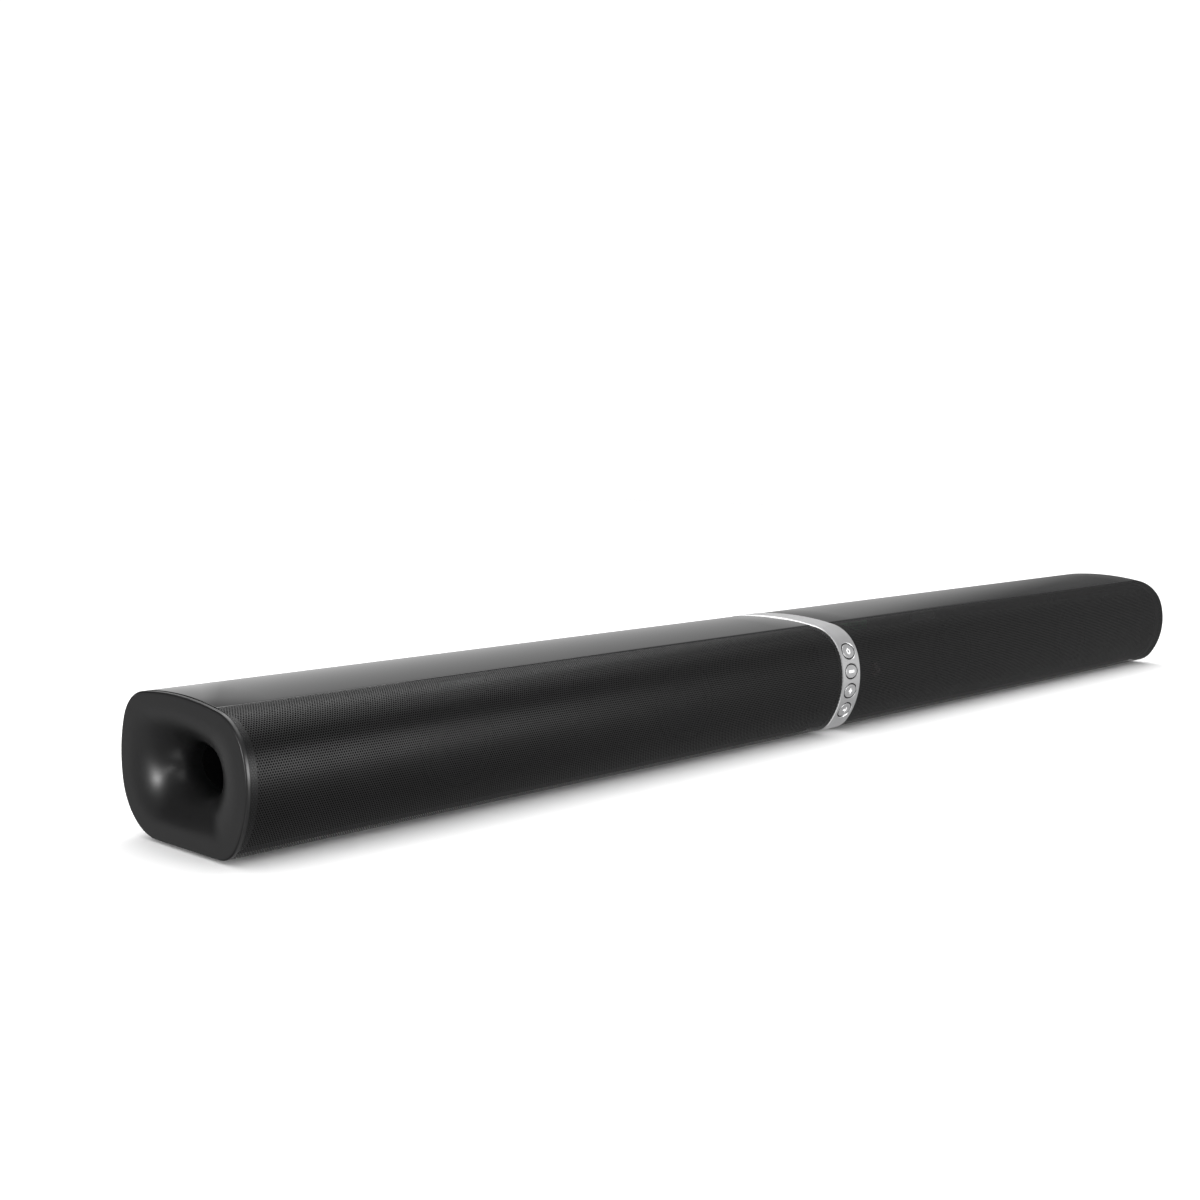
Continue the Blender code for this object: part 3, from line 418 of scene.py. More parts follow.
def joined(*parts):
    """Several (points, faces) with four corners to a face as one, with coincident points shared.

    Points that agree to a micrometre become one, and a cell that has shrunk to a line is left out.
    """
    starts = np.cumsum([0] + [len(points) for points, _ in parts[:-1]])
    points = np.concatenate([points for points, _ in parts])
    faces = np.concatenate([faces + start for (_, faces), start in zip(parts, starts, strict=True)])
    keys = np.round(points / SAME_POINT).astype(np.int64)
    _, first, same = np.unique(keys, axis=0, return_index=True, return_inverse=True)
    return points[first], same.reshape(-1)[faces]


def triangles(faces):
    """Quads as triangles, without those that have shrunk to a line or a point."""
    split = np.concatenate([faces[:, [0, 1, 2]], faces[:, [0, 2, 3]]])
    alive = (split[:, 0] != split[:, 1]) & (split[:, 1] != split[:, 2]) & (split[:, 2] != split[:, 0])
    return split[alive]


def enclosed_volume(points, faces):
    """The volume inside a closed mesh: a sixth of each triangle's triple product, summed."""
    a, b, c = (points[triangles(faces)[:, corner]] for corner in range(3))
    return float(np.einsum("ij,ij->i", a, np.cross(b, c)).sum() / 6)


def mesh_object(name, points, faces, materials, face_materials=None, sharp=SHARP_ANGLE):
    """A smooth-shaded object from arrays, with edges sharper than an angle in degrees kept crisp."""
    mesh = bpy.data.meshes.new(name)
    mesh.vertices.add(len(points))
    mesh.vertices.foreach_set("co", np.ascontiguousarray(points, np.float32).ravel())
    corners = faces.shape[1]
    mesh.loops.add(faces.size)
    mesh.loops.foreach_set("vertex_index", np.ascontiguousarray(faces, np.int32).ravel())
    mesh.polygons.add(len(faces))
    mesh.polygons.foreach_set("loop_start", np.arange(0, faces.size, corners, dtype=np.int32))
    for material in materials:
        mesh.materials.append(material)
    if face_materials is not None:
        mesh.polygons.foreach_set("material_index", np.ascontiguousarray(face_materials, np.int32))
    mesh.update(calc_edges=True)
    mesh.validate()
    mesh.shade_smooth()
    if sharp:
        mesh.set_sharp_from_angle(angle=math.radians(sharp))
    made = bpy.data.objects.new(name, mesh)
    bpy.context.scene.collection.objects.link(made)
    return made


def solid_object(name, part, materials, face_materials=None, sharp=SHARP_ANGLE):
    """A closed mesh with its faces turned outwards."""
    points, faces = part
    if enclosed_volume(points, faces) < 0:
        faces = faces[:, ::-1]
    return mesh_object(name, points, faces, materials, face_materials, sharp)


def place(made, body, slot, *nodes):
    """Lets a piece ride on a body and stand for CAD nodes, which it hides; slot is not used."""
    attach(made, body)
    if nodes:
        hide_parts(*nodes)


def cut_away(target, *cutters):
    """Takes each cutter's shape out of the target's mesh and removes the cutters."""
    for cutter in cutters:
        modifier = target.modifiers.new(cutter.name, "BOOLEAN")
        modifier.operation = "DIFFERENCE"
        modifier.solver = "EXACT"
        modifier.object = cutter
    bpy.context.view_layer.update()
    evaluated = target.evaluated_get(bpy.context.evaluated_depsgraph_get())
    result = bpy.data.meshes.new_from_object(evaluated)
    target.modifiers.clear()
    plain = target.data
    target.data = result
    bpy.data.meshes.remove(plain)
    target.data.name = target.name
    target.data.set_sharp_from_angle(angle=math.radians(SHARP_ANGLE))
    for cutter in cutters:
        cutter_mesh = cutter.data
        bpy.data.objects.remove(cutter)
        bpy.data.meshes.remove(cutter_mesh)


# ---------------------------------------------------------------- shader building


class Value:
    """An output socket of a shader tree; arithmetic on it adds Math nodes."""

    def __init__(self, tree, socket):
        self.tree = tree
        self.socket = socket

    def math(self, operation, first, second):
        """A Math node on two values."""
        return self.tree.node("ShaderNodeMath", {"operation": operation}, {0: first, 1: second})

    def __add__(self, other):
        return self.math("ADD", self, other)

    def __sub__(self, other):
        return self.math("SUBTRACT", self, other)

    def __rsub__(self, other):
        return self.math("SUBTRACT", other, self)

    def __mul__(self, other):
        return self.math("MULTIPLY", self, other)

    def __truediv__(self, other):
        return self.math("DIVIDE", self, other)

    __radd__ = __add__
    __rmul__ = __mul__


class ShaderTree:
    """A node tree that is being filled; one method adds any node."""

    def __init__(self, owner):
        owner.use_nodes = True
        self.tree = owner.node_tree
        self.tree.nodes.clear()

    def node(self, kind, settings=None, inputs=None, output=0):
        """Adds a node, sets its settings and then its sockets, and returns one of its outputs."""
        made = self.tree.nodes.new(kind)
        for name, value in (settings or {}).items():
            if name == "stops":
                self.fill_ramp(made.color_ramp, value)
            else:
                setattr(made, name, value)
        for name, value in (inputs or {}).items():
            if isinstance(value, Value):
                self.tree.links.new(value.socket, made.inputs[name])
            else:
                made.inputs[name].default_value = value
        return Value(self, made.outputs[output]) if made.outputs else None

    def fill_ramp(self, ramp, stops):
        """Gives a colour ramp these (position, colour) stops."""
        while len(ramp.elements) < len(stops):
            ramp.elements.new(1.0)
        for element, (position, shade) in zip(ramp.elements, stops, strict=True):
            element.position = position
            element.color = (*shade, 1.0)

    def place(self):
        """The object's own coordinates, in metres."""
        return self.node("ShaderNodeTexCoord", output="Object")

    def noise(self, scale, detail=2.0, vector=None, stretch=None):
        """Noise from 0 to 1 with this many bumps to a metre, drawn out along an axis if asked."""
        vector = vector or self.place()
        if stretch:
            vector = self.node("ShaderNodeMapping", inputs={"Vector": vector, "Scale": stretch})
        inputs = {"Vector": vector, "Scale": scale, "Detail": detail, "Roughness": 0.6}
        return self.node("ShaderNodeTexNoise", {"noise_dimensions": "3D"}, inputs, "Fac")

    def blend(self, factor, first, second):
        """A colour between two colours, by the Mix node's factor, A and B sockets for colours."""
        inputs = {MIX_FACTOR: factor, MIX_A: (*first, 1.0), MIX_B: (*second, 1.0)}
        return self.node("ShaderNodeMix", {"data_type": "RGBA"}, inputs, MIX_RESULT)

    def bump(self, height, strength, distance):
        """A normal that rises and falls with a height from 0 to 1."""
        return self.node(
            "ShaderNodeBump", inputs={"Height": height, "Strength": strength, "Distance": distance}
        )


def shaded(colour_value, factor):
    """A colour made lighter or darker."""
    return tuple(min(1.0, part * factor) for part in colour_value)


def surface_material(name, build):
    """A material whose Principled shader's sockets come from build(tree), or the one already made."""
    found = bpy.data.materials.get(name)
    if found:
        return found
    made = bpy.data.materials.new(name)
    tree = ShaderTree(made)
    shader = tree.node("ShaderNodeBsdfPrincipled", inputs=build(tree), output="BSDF")
    tree.node("ShaderNodeOutputMaterial", inputs={"Surface": shader})
    return made


def mottled(name, base, roughness, grain, relief, contrast=0.25, patch=60.0, specular=0.5):
    """A moulded or painted surface: fine grain in its relief, and faint patches in colour and roughness."""

    def build(tree):
        fine = tree.noise(grain, 3.0)
        broad = tree.noise(patch, 2.0)
        return {
            "Base Color": tree.blend(broad, shaded(base, 1.0 - contrast), shaded(base, 1.0 + contrast)),
            "Roughness": roughness * (0.9 + 0.2 * broad),
            "Specular IOR Level": specular,
            "Normal": tree.bump(fine, relief, 0.5 / grain),
        }

    return surface_material(name, build)


def powder_coat(finishes):
    """Satin black powder coat with a fine orange-peel relief."""
    return mottled("black_powder_coat", finishes.grille, 0.42, 1400.0, 0.10, 0.15, specular=0.26)


def piano_black(finishes):
    """Polished black lacquer with faint slow changes of tone and a slight roughness that changes with them.
    """

    def build(tree):
        haze = tree.noise(25.0, 3.0)
        return {
            "Base Color": tree.blend(haze, shaded(finishes.gloss, 0.85), shaded(finishes.gloss, 1.15)),
            "Roughness": 0.03 + 0.03 * haze,
        }

    return surface_material("piano_black_lacquer", build)


def satin_black(finishes):
    """Satin black moulding of the end caps."""
    return mottled("satin_black_moulding", finishes.cap, 0.33, 2600.0, 0.06, 0.12)


def textured_black(finishes):
    """Spark-eroded texture of the rear shells."""
    return mottled("textured_black_moulding", finishes.shell, 0.55, 1800.0, 0.30, 0.2)


def satin_metal(finishes):
    """Satin metal with fine brushing round the band and slow changes of tone."""

    def build(tree):
        brushed = tree.noise(900.0, 2.0, stretch=(6.0, 0.6, 0.6))
        broad = tree.noise(120.0, 2.0)
        return {
            "Base Color": tree.blend(broad, shaded(finishes.silver, 0.92), shaded(finishes.silver, 1.06)),
            "Roughness": 0.36 + 0.10 * brushed,
            "Metallic": 1.0,
            "Normal": tree.bump(brushed, 0.04, 0.0004),
        }

    return surface_material("satin_metal_band", build)


def cut_metal(finishes):
    """Cut metal of the chamfers: smoother than the band, and lighter than the band's silver as a painted
    highlight.
    """

    def build(tree):
        marks = tree.noise(1500.0, 2.0)
        return {
            # Painted highlight: the band's silver is made 1.1 to 1.3 times lighter here; the tool marks vary
            # it at random.
            "Base Color": tree.blend(marks, shaded(finishes.silver, 1.1), shaded(finishes.silver, 1.3)),
            "Roughness": 0.28 + 0.08 * marks,
            "Metallic": 1.0,
        }

    return surface_material("bright_cut_metal", build)


def button_paint(finishes):
    """Silver paint with fine metal flakes."""

    def build(tree):
        flakes = tree.noise(5200.0, 1.0)
        return {
            "Base Color": tree.blend(flakes, shaded(finishes.button, 0.85), shaded(finishes.button, 1.15)),
            "Roughness": 0.34 + 0.10 * flakes,
            "Metallic": 0.85,
        }

    return surface_material("silver_button_paint", build)


def icon_print(finishes):
    """White print with a little unevenness."""
    return mottled("white_icon_print", finishes.icon, 0.45, 4000.0, 0.05, 0.05)


def black_rubber():
    """Matt black rubber of the feet and the drivers' surrounds."""
    return mottled("black_rubber", (0.005, 0.005, 0.005), 0.85, 900.0, 0.15, specular=0.05)


def painted_gap_shade():
    """Near-black painted shade for the gaps round the buttons, which shows in the gaps: on the hole walls,
    the band's inner face and the buttons' sides, flange and stem.
    """
    return mottled("black_core_moulding", (0.006, 0.006, 0.0065), 0.55, 1800.0, 0.10)


def circuit_board(_finishes):
    """Green solder mask with copper tracks showing through as lighter lines."""

    def build(tree):
        cells = tree.node(
            "ShaderNodeTexBrick",
            {"offset": 0.5, "squash": 1.0},
            {
                "Vector": tree.node(
                    "ShaderNodeMapping",
                    inputs={"Vector": tree.place(), "Rotation": (math.pi / 2, 0.0, 0.0)},
                ),
                "Color1": (0.012, 0.12, 0.045, 1.0),
                "Color2": (0.016, 0.15, 0.055, 1.0),
                "Mortar": (0.05, 0.26, 0.10, 1.0),
                "Scale": 110.0,
                "Mortar Size": 0.06,
            },
            "Color",
        )
        return {"Base Color": cells, "Roughness": 0.30 + 0.15 * tree.noise(300.0)}

    return surface_material("green_solder_mask", build)


def brushed_steel(_finishes):
    """Zinc-plated steel with a crystalline tone."""

    def build(tree):
        spangle = tree.noise(260.0, 3.0)
        return {
            "Base Color": tree.blend(spangle, (0.40, 0.41, 0.43), (0.62, 0.63, 0.65)),
            "Roughness": 0.28 + 0.18 * spangle,
            "Metallic": 1.0,
            "Normal": tree.bump(tree.noise(900.0), 0.06, 0.0004),
        }

    return surface_material("zinc_plated_steel", build)


def paper_cone(_finishes):
    """Coated paper with pressed fibres."""

    def build(tree):
        fibres = tree.noise(700.0, 4.0, stretch=(1.0, 1.0, 2.5))
        return {
            "Base Color": tree.blend(fibres, (0.003, 0.003, 0.0032), (0.007, 0.007, 0.0075)),
            "Roughness": 0.80 + 0.15 * fibres,
            "Specular IOR Level": 0.05,
            "Normal": tree.bump(fibres, 0.25, 0.0006),
        }

    return surface_material("coated_paper", build)


def anodised(_finishes):
    """Anodised extrusion with fine lines along its length."""

    def build(tree):
        lines = tree.noise(1200.0, 2.0, stretch=(1.0, 1.0, 0.05))
        return {
            "Base Color": tree.blend(lines, (0.20, 0.21, 0.225), (0.34, 0.35, 0.37)),
            "Roughness": 0.34 + 0.14 * lines,
            "Metallic": 1.0,
        }

    return surface_material("anodised_extrusion", build)


def inner_finishes(finishes):
    """Which material each CAD part that stays in view gets, by a word in its name."""
    rubber = black_rubber()
    moulding = mottled("inner_black_moulding", (0.004, 0.004, 0.0042), 0.70, 900.0, 0.20, specular=0.05)
    fibreboard = mottled("black_fibreboard", (0.004, 0.0038, 0.0036), 0.90, 500.0, 0.35, 0.35, specular=0.05)
    switch = mottled("switch_moulding", (0.030, 0.030, 0.033), 0.50, 1500.0, 0.10)
    return {
        "port_tube": moulding,
        "bulkhead": moulding,
        "centre_frame": moulding,
        "io_panel": satin_black(finishes),
        "baffle": fibreboard,
        "board": circuit_board(finishes),
        "switch": switch,
        "jack": switch,
        "ir_receiver": mottled("receiver_lens", (0.010, 0.004, 0.005), 0.12, 800.0, 0.02),
        "basket": mottled("black_coated_steel", (0.004, 0.004, 0.0042), 0.80, 1200.0, 0.10, specular=0.05),
        "hanger_plate": brushed_steel(finishes),
        "wireless_module": brushed_steel(finishes),
        "magnet": mottled("ferrite", (0.030, 0.030, 0.033), 0.60, 700.0, 0.25, 0.3),
        "surround": rubber,
        "cone": paper_cone(finishes),
        "heatsink": anodised(finishes),
        "capacitor": mottled("shrink_sleeve", (0.010, 0.016, 0.050), 0.35, 1500.0, 0.05, 0.2),
        "lead": mottled("lead_sheath", (0.20, 0.012, 0.012), 0.45, 1500.0, 0.10, 0.2),
    }


# ---------------------------------------------------------------- skins


def wall_section(half_length, half_depth, ease, shrink, spacing):
    """A rectangle with round corners, as a loop of (length, depth) pairs about its middle.

    Shrink moves every side inwards. The loop's two halves mirror each other across the depth, so that an end
    closes with quads between them.
    """
    radius = ease - shrink
    reach = half_length - shrink - radius
    rise = half_depth - shrink - radius
    count = max(2, math.ceil(2 * half_length / spacing))
    turns = np.linspace(math.pi, math.pi / 2, EASE_POINTS)
    corner = np.column_stack([np.cos(turns) * radius - reach, -np.sin(turns) * radius - rise])
    side = np.linspace(-reach, reach, count)[1:-1]
    outer = np.column_stack([side, np.full(len(side), -rise - radius)])
    upper = np.concatenate([corner, outer, corner[::-1] * (-1.0, 1.0)])
    return np.concatenate([upper, upper[::-1] * (1.0, -1.0)])


def wall_strip(outline, seams, insets, ends, ease, spacing=0.0012, stations=16):
    """A closed strip of wall between two seams and two ends, with all its edges eased.

    Its rectangle of length by depth is carried along X. Over each end it shrinks by ease * (1 - cos turn)
    while X still has ease * (1 - sin turn) to go, which rounds the end's edges to the same radius.
    """
    middle = (seams[0] + seams[1]) / 2
    depth = (insets[0] + insets[1]) / 2
    half_length = (seams[1] - seams[0]) / 2
    half_depth = (insets[1] - insets[0]) / 2
    turns = np.linspace(0.0, math.pi / 2, EASE_POINTS)
    lead = ease * (1 - np.sin(turns))
    shrinks = ease * (1 - np.cos(turns))
    near, far = sorted(ends)
    xs = np.concatenate(
        [near + lead[::-1], np.linspace(near + ease, far - ease, stations)[1:-1], far - lead]
    )
    shrinks = np.concatenate([shrinks[::-1], np.zeros(stations - 2), shrinks])
    loops = np.stack(
        [wall_section(half_length, half_depth, ease, shrink, spacing) for shrink in shrinks]
    )
    return carried(outline.surface(xs[:, None], middle + loops[..., 0], depth + loops[..., 1]))


def skin_ends(context, side):
    """Where one half's skins start beside the ring and end beside the cap."""
    scene = context.scene
    gap = scene.soundbar_section.gap
    near = scene.soundbar_ring.width / 2 + gap
    far = HALF_LENGTH - scene.soundbar_cap.rim_width - gap
    return side * near, side * far


def make_top_panel(context, outline, name, side):
    """One half's gloss panel, standing a little above the outline with eased edges."""
    skins = context.scene.soundbar_skins
    gap = outline.section.gap
    seams = (outline.top_back + gap / 2, outline.perimeter + outline.top_front - gap / 2)
    part = wall_strip(
        outline, seams, (-skins.panel_proud, skins.panel_wall), skin_ends(context, side), skins.panel_ease
    )
    material = piano_black(context.scene.soundbar_finishes)
    made = solid_object(f"{name}_gloss_top", part, [material])
    place(made, HOUSING, "gloss_top", f"{name}_top_panel")


def rounded_prism(name, centre, half_width, half_height, corner, depths, corner_points=9):
    """A closed block along Y with round corners, for cutting windows."""
    turns = np.linspace(0.0, math.pi / 2, corner_points)
    quarter = np.column_stack([np.cos(turns), np.sin(turns)]) * corner
    quarter += (half_width - corner, half_height - corner)
    upper = np.concatenate([quarter, quarter[::-1] * (-1.0, 1.0)])
    outline_loop = np.concatenate([upper, upper[::-1] * (1.0, -1.0)]) + centre
    loops = np.stack([np.insert(outline_loop, 1, depth, axis=1) for depth in depths])
    return solid_object(name, carried(loops), [])


def make_rear_shell(context, outline, name, side):
    """One half's shell round the back and underside, with its windows cut through."""
    skins = context.scene.soundbar_skins
    gap = outline.section.gap
    seams = (outline.under + gap / 2, outline.top_back - gap / 2)
    part = wall_strip(outline, seams, (0.0, skins.shell_wall), skin_ends(context, side), skins.shell_ease)
    material = textured_black(context.scene.soundbar_finishes)
    made = solid_object(f"{name}_shell", part, [material])
    through = (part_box(f"{name}_hanger_plate")[0][1], HALF_LENGTH)
    cutters = [
        rounded_prism(
            "hanger_window",
            (side * skins.hanger_x, skins.hanger_z),
            skins.hanger_half_width,
            skins.hanger_half_height,
            gap,
            through,
        )
    ]
    if name == "right":
        tray_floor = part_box("io_panel")[0][1]
        cutters.append(
            rounded_prism(
                "socket_window",
                (skins.socket_x, outline.mid_z),
                skins.socket_half_width + gap,
                skins.socket_half_height + gap,
                skins.socket_corner,
                (tray_floor, HALF_LENGTH),
            )
        )
    cut_away(made, *cutters)
    place(made, HOUSING, "rear_shell", f"{name}_rear_shell")


# ---------------------------------------------------------------- grille


def perforated_part(outline, grille, seams, x_start, first, last):
    """Some columns of one half's perforated sheet, as (points, triangles).

    Each hole sits in a six-sided cell of the staggered lattice, with corners at 30 degrees, 90 degrees and so
    on, and six quads join the cell's edge to the hole's. Cells of the first and last rows are drawn out to
    the sheet's border, and cells beside the ring and the cap are clipped there, so that their holes are cut.
    Along each seam the sheet then turns straight inwards.
    """
    pitch = grille.pitch
    start = seams[0] + grille.border
    end = seams[1] - grille.border
    rows = round((end - start) / (pitch * math.sqrt(3) / 2)) // 2 * 2 + 1
    row_step = (end - start) / rows
    row = np.arange(rows)[:, None, None]
    column = np.arange(first, last + 1)[None, :, None]
    centre_x = x_start + (column + 0.5 * (row % 2)) * pitch
    centre_length = start + (row + 0.5) * row_step
    turns = np.radians(30.0 + 60.0 * np.arange(6))
    cell_x = pitch / math.sqrt(3) * np.cos(turns)
    cell_length = row_step * 2 / 3 * np.sin(turns)
    edge_x = centre_x + cell_x
    edge_length = centre_length + cell_length
    edge_length = np.where((row == 0) & (cell_length < 0), seams[0], edge_length)
    edge_length = np.where((row == rows - 1) & (cell_length > 0), seams[1], edge_length)
    hole_x = centre_x + grille.hole_radius * np.cos(turns)
    hole_length = centre_length + grille.hole_radius * np.sin(turns)
    low = x_start + first * pitch
    high = x_start + last * pitch
    places = np.broadcast_arrays(edge_x, hole_x, edge_length, hole_length)
    x = np.clip(np.stack(places[:2], axis=-1), low, high)
    along = np.stack(places[2:], axis=-1)
    corner = np.arange(6)
    after = (corner + 1) % 6
    cell_faces = np.stack([corner * 2, after * 2, after * 2 + 1, corner * 2 + 1], axis=1)
    cells = rows * (last - first + 1)
    faces = (np.arange(cells)[:, None, None] * 12 + cell_faces).reshape(-1, 4)
    sheet = outline.surface(x.reshape(-1), along.reshape(-1), 0.0)
    xs = np.clip(x_start + np.arange(2 * first, 2 * last + 1) * pitch / 2, low, high)
    depths = np.array([0.0, grille.fold])
    folds = [grid(outline.surface(xs[None, :], seam, depths[:, None])) for seam in seams]
    points, faces = joined((sheet, faces), *folds)
    return points, triangles(faces)


def facing_out(points, faces, outline):
    """Turns each triangle so that it faces away from the bar's middle line."""
    a, b, c = (points[faces[:, corner]] for corner in range(3))
    normal = np.cross(b - a, c - a)
    middle = (a + b + c) / 3
    away = middle - (0.0, 0.0, outline.mid_z)
    inward = normal[:, 1] * away[:, 1] + normal[:, 2] * away[:, 2] < 0
    faces = faces.copy()
    faces[inward] = faces[inward][:, ::-1]
    return faces


def make_grille(context, outline, name, side):
    """One half's perforated sheet, in a few parts side by side."""
    grille = context.scene.soundbar_grille
    gap = outline.section.gap
    seams = (outline.top_front + gap / 2, outline.under - gap / 2)
    low, high = sorted(skin_ends(context, side))
    total = round((high - low) / grille.pitch)
    material = powder_coat(context.scene.soundbar_finishes)
    bounds = [round(total * part / grille.parts) for part in range(grille.parts + 1)]
    for number, (first, last) in enumerate(zip(bounds[:-1], bounds[1:], strict=True)):
        points, faces = perforated_part(outline, grille, seams, low, first, last)
        faces = facing_out(points, faces, outline)
        made = mesh_object(f"{name}_mesh_{number + 1}", points, faces, [material], sharp=0.0)
        place(made, HOUSING, "grille", f"{name}_grille")


# ---------------------------------------------------------------- end caps


def throat_angles(outline, cap, count):
    """The direction of each outline point seen from the bar's middle, with both axes scaled to 1."""
    mouth = outline.surface(0.0, outline.round_loop(count), cap.face)
    across = mouth[:, 1] / np.abs(mouth[:, 1]).max()
    up = (mouth[:, 2] - outline.mid_z) / np.abs(mouth[:, 2] - outline.mid_z).max()
    return np.arctan2(up, across)


def make_end_cap(context, outline, name, side, count=240):
    """One end's moulding: rim, rounded edge, face, horn, throat and the spigot in the skins.

    The horn blends straight from the mouth's outline to the throat's ellipse as flare goes from 0 to 1, and
    its depth follows a quarter of an ellipse, depth * (1 - sqrt(1 - flare^2)), flat at the mouth and straight
    in at the throat. A wall thickness moves its back surface outwards and deeper.
    """
    cap = context.scene.soundbar_cap
    section = outline.section
    lengths = outline.round_loop(count)
    angles = throat_angles(outline, cap, count)

    def at(depth, inset):
        """The outline, moved inwards, at depths below the cap's face."""
        depth, inset = np.broadcast_arrays(np.asarray(depth, float)[..., None], np.asarray(inset)[..., None])
        return outline.surface(side * (HALF_LENGTH - depth), lengths, inset)

    def throat(depth, wall):
        """The throat's ellipse, grown by a wall, at depths below the cap's face."""
        depth = np.asarray(depth, float)[..., None]
        y = (cap.throat_half_width + wall) * np.cos(angles)
        z = outline.mid_z + (cap.throat_half_height + wall) * np.sin(angles)
        return np.stack(np.broadcast_arrays(side * (HALF_LENGTH - depth), y, z), axis=-1)

    def horn(flares, wall):
        """The flare from mouth to throat, or the back of its wall."""
        depth = cap.horn_depth * (1 - np.sqrt(1 - flares**2)) + wall * (1 - flares)
        mouth = at(depth, np.full(len(flares), cap.face - wall))
        return mouth + flares[:, None, None] * (throat(depth, wall) - mouth)

    turns = np.linspace(0.0, math.pi / 2, 7)
    flares = np.sin(np.linspace(0.0, math.pi / 2, 36)[:-1])
    spigot = context.scene.soundbar_skins.shell_wall + section.gap
    face_inset = np.linspace(cap.rim_round, cap.face, 6)[1:-1]
    loops = np.concatenate(
        [
            at([cap.rim_width], [0.0]),
            at(cap.rim_round * (1 - np.sin(turns)), cap.rim_round * (1 - np.cos(turns))),
            at(np.zeros(len(face_inset)), face_inset),
            horn(flares, 0.0),
            throat([cap.horn_depth, cap.throat_end], 0.0),
            throat([cap.throat_end, cap.horn_depth], cap.wall),
            horn(flares[::-5], cap.wall),
            at([cap.wall + section.gap, cap.spigot_depth], [spigot + cap.spigot_wall] * 2),
            at([cap.spigot_depth, cap.rim_width], [spigot] * 2),
        ]
    )
    part = grid(loops, wrap_rows=True, wrap_columns=True)
    made = solid_object(f"{name}_cap", part, [satin_black(context.scene.soundbar_finishes)])
    place(made, HOUSING, "satin_cap", f"{name}_end_cap")


# ---------------------------------------------------------------- control ring and buttons


def button_heights(ring):
    """The height of each button's middle, by name."""
    return {name: ring.top_button - index * ring.button_pitch for index, name in enumerate(BUTTON_NAMES)}


def hole_patch(outline, ring, height, edge_x, side_points):
    """The band's face round one button hole, then the hole's chamfer and wall: (points, faces) of each.

    The patch runs from a rectangle, as wide as the flat face and one button pitch high, to the hole's ellipse
    by straight blends along rays through the rectangle's evenly spaced edge points.
    """
    half = ring.button_pitch / 2
    spread = np.linspace(-1.0, 1.0, side_points + 1)[:-1]
    one = np.ones(side_points)
    square = np.concatenate(
        [
            np.column_stack([one, spread]),
            np.column_stack([-spread, one]),
            np.column_stack([-one, -spread]),
            np.column_stack([spread, -one]),
        ]
    )
    rectangle = square * (edge_x, half)
    angles = np.arctan2(square[:, 1], square[:, 0])
    direction = np.column_stack([np.cos(angles), np.sin(angles)])
    hole = np.array([ring.hole_half_width, ring.hole_half_height])
    steps = np.linspace(0.0, 1.0, 9)[:, None, None]
    widened = direction * (hole + ring.hole_chamfer)
    flat = rectangle + steps * (widened - rectangle)

    def lifted(plane, inset):
        """Points of the (x, height) plane laid on the outline."""
        lengths = outline.length_at_z(height + plane[..., 1])
        return outline.surface(plane[..., 0], lengths, inset)

    face = grid(lifted(flat, -ring.proud), wrap_columns=True)
    rims = np.stack([widened, direction * hole])
    insets = np.array([-ring.proud, -ring.proud + ring.hole_chamfer])
    rim = grid(lifted(rims, insets[:, None]), wrap_columns=True)
    walls = np.stack([direction * hole, direction * hole])
    insets = np.array([-ring.proud + ring.hole_chamfer, ring.wall])
    wall = grid(lifted(walls, insets[:, None]), wrap_columns=True)
    back = grid(lifted(rectangle + steps * (direction * hole - rectangle), ring.wall), wrap_columns=True)
    return face, rim, wall, back


def make_control_ring(context, outline, side_points=20, rest_points=220):
    """A metal band round the whole bar with chamfers and an oval hole for each button; the chamfers carry a
    painted highlight and the hole walls painted shade.
    """
    ring = context.scene.soundbar_ring
    finishes = context.scene.soundbar_finishes
    half = ring.width / 2
    flat = half - ring.chamfer
    across = np.linspace(-flat, flat, side_points + 1)
    heights = button_heights(ring)
    plain = []
    bright = []
    shade_parts = []
    start = ring.top_button + ring.button_pitch / 2
    marks = [start - ring.button_pitch * number for number in range(len(heights) + 1)]
    edge_rows = [
        outline.length_at_z(np.linspace(high, low, side_points + 1))
        for high, low in zip(marks[:-1], marks[1:], strict=True)
    ]
    buttons = np.concatenate([edge_rows[0], *(rows[1:] for rows in edge_rows[1:])])
    rest = np.linspace(buttons[-1], buttons[0] + outline.perimeter, rest_points)
    around = np.concatenate([buttons, rest[1:-1]])
    for height in heights.values():
        face, rim, wall, back = hole_patch(outline, ring, height, flat, side_points)
        plain.append(face)
        bright.append(rim)
        shade_parts += [wall, back]
    plain.append(grid(outline.surface(across[None, :], rest[:, None], -ring.proud)))
    shade_parts.append(grid(outline.surface(across[None, :], rest[:, None], ring.wall)))
    for sign in (-1, 1):
        edges = np.array([sign * flat, sign * half])
        depths = np.array([-ring.proud, -ring.proud + ring.chamfer])
        edge = outline.surface(edges[:, None], around[None, :], depths[:, None])
        bright.append(grid(edge, wrap_columns=True))
        edges = np.array([sign * half, sign * half, sign * flat])
        depths = np.array([-ring.proud + ring.chamfer, ring.wall, ring.wall])
        edge = outline.surface(edges[:, None], around[None, :], depths[:, None])
        plain.append(grid(edge, wrap_columns=True))
    points, faces = joined(*plain, *bright, *shade_parts)
    counts = [sum(len(faces) for _, faces in parts) for parts in (plain, bright, shade_parts)]
    # The third material paints the hole walls and the band's inner face near-black as painted shade in the
    # gaps; the chamfers' lighter cut metal is partly a painted highlight.
    materials = [satin_metal(finishes), cut_metal(finishes), painted_gap_shade()]
    made = mesh_object("control_band", points, faces, materials, np.repeat(np.arange(3), counts), sharp=28.0)
    turn_outwards(made)
    place(made, HOUSING, "silver_ring", "control_ring")


def turn_outwards(made):
    """Makes a closed mesh's faces agree and point outwards."""
    builder = bmesh.new()
    builder.from_mesh(made.data)
    bmesh.ops.recalc_face_normals(builder, faces=builder.faces)
    builder.to_mesh(made.data)
    builder.free()


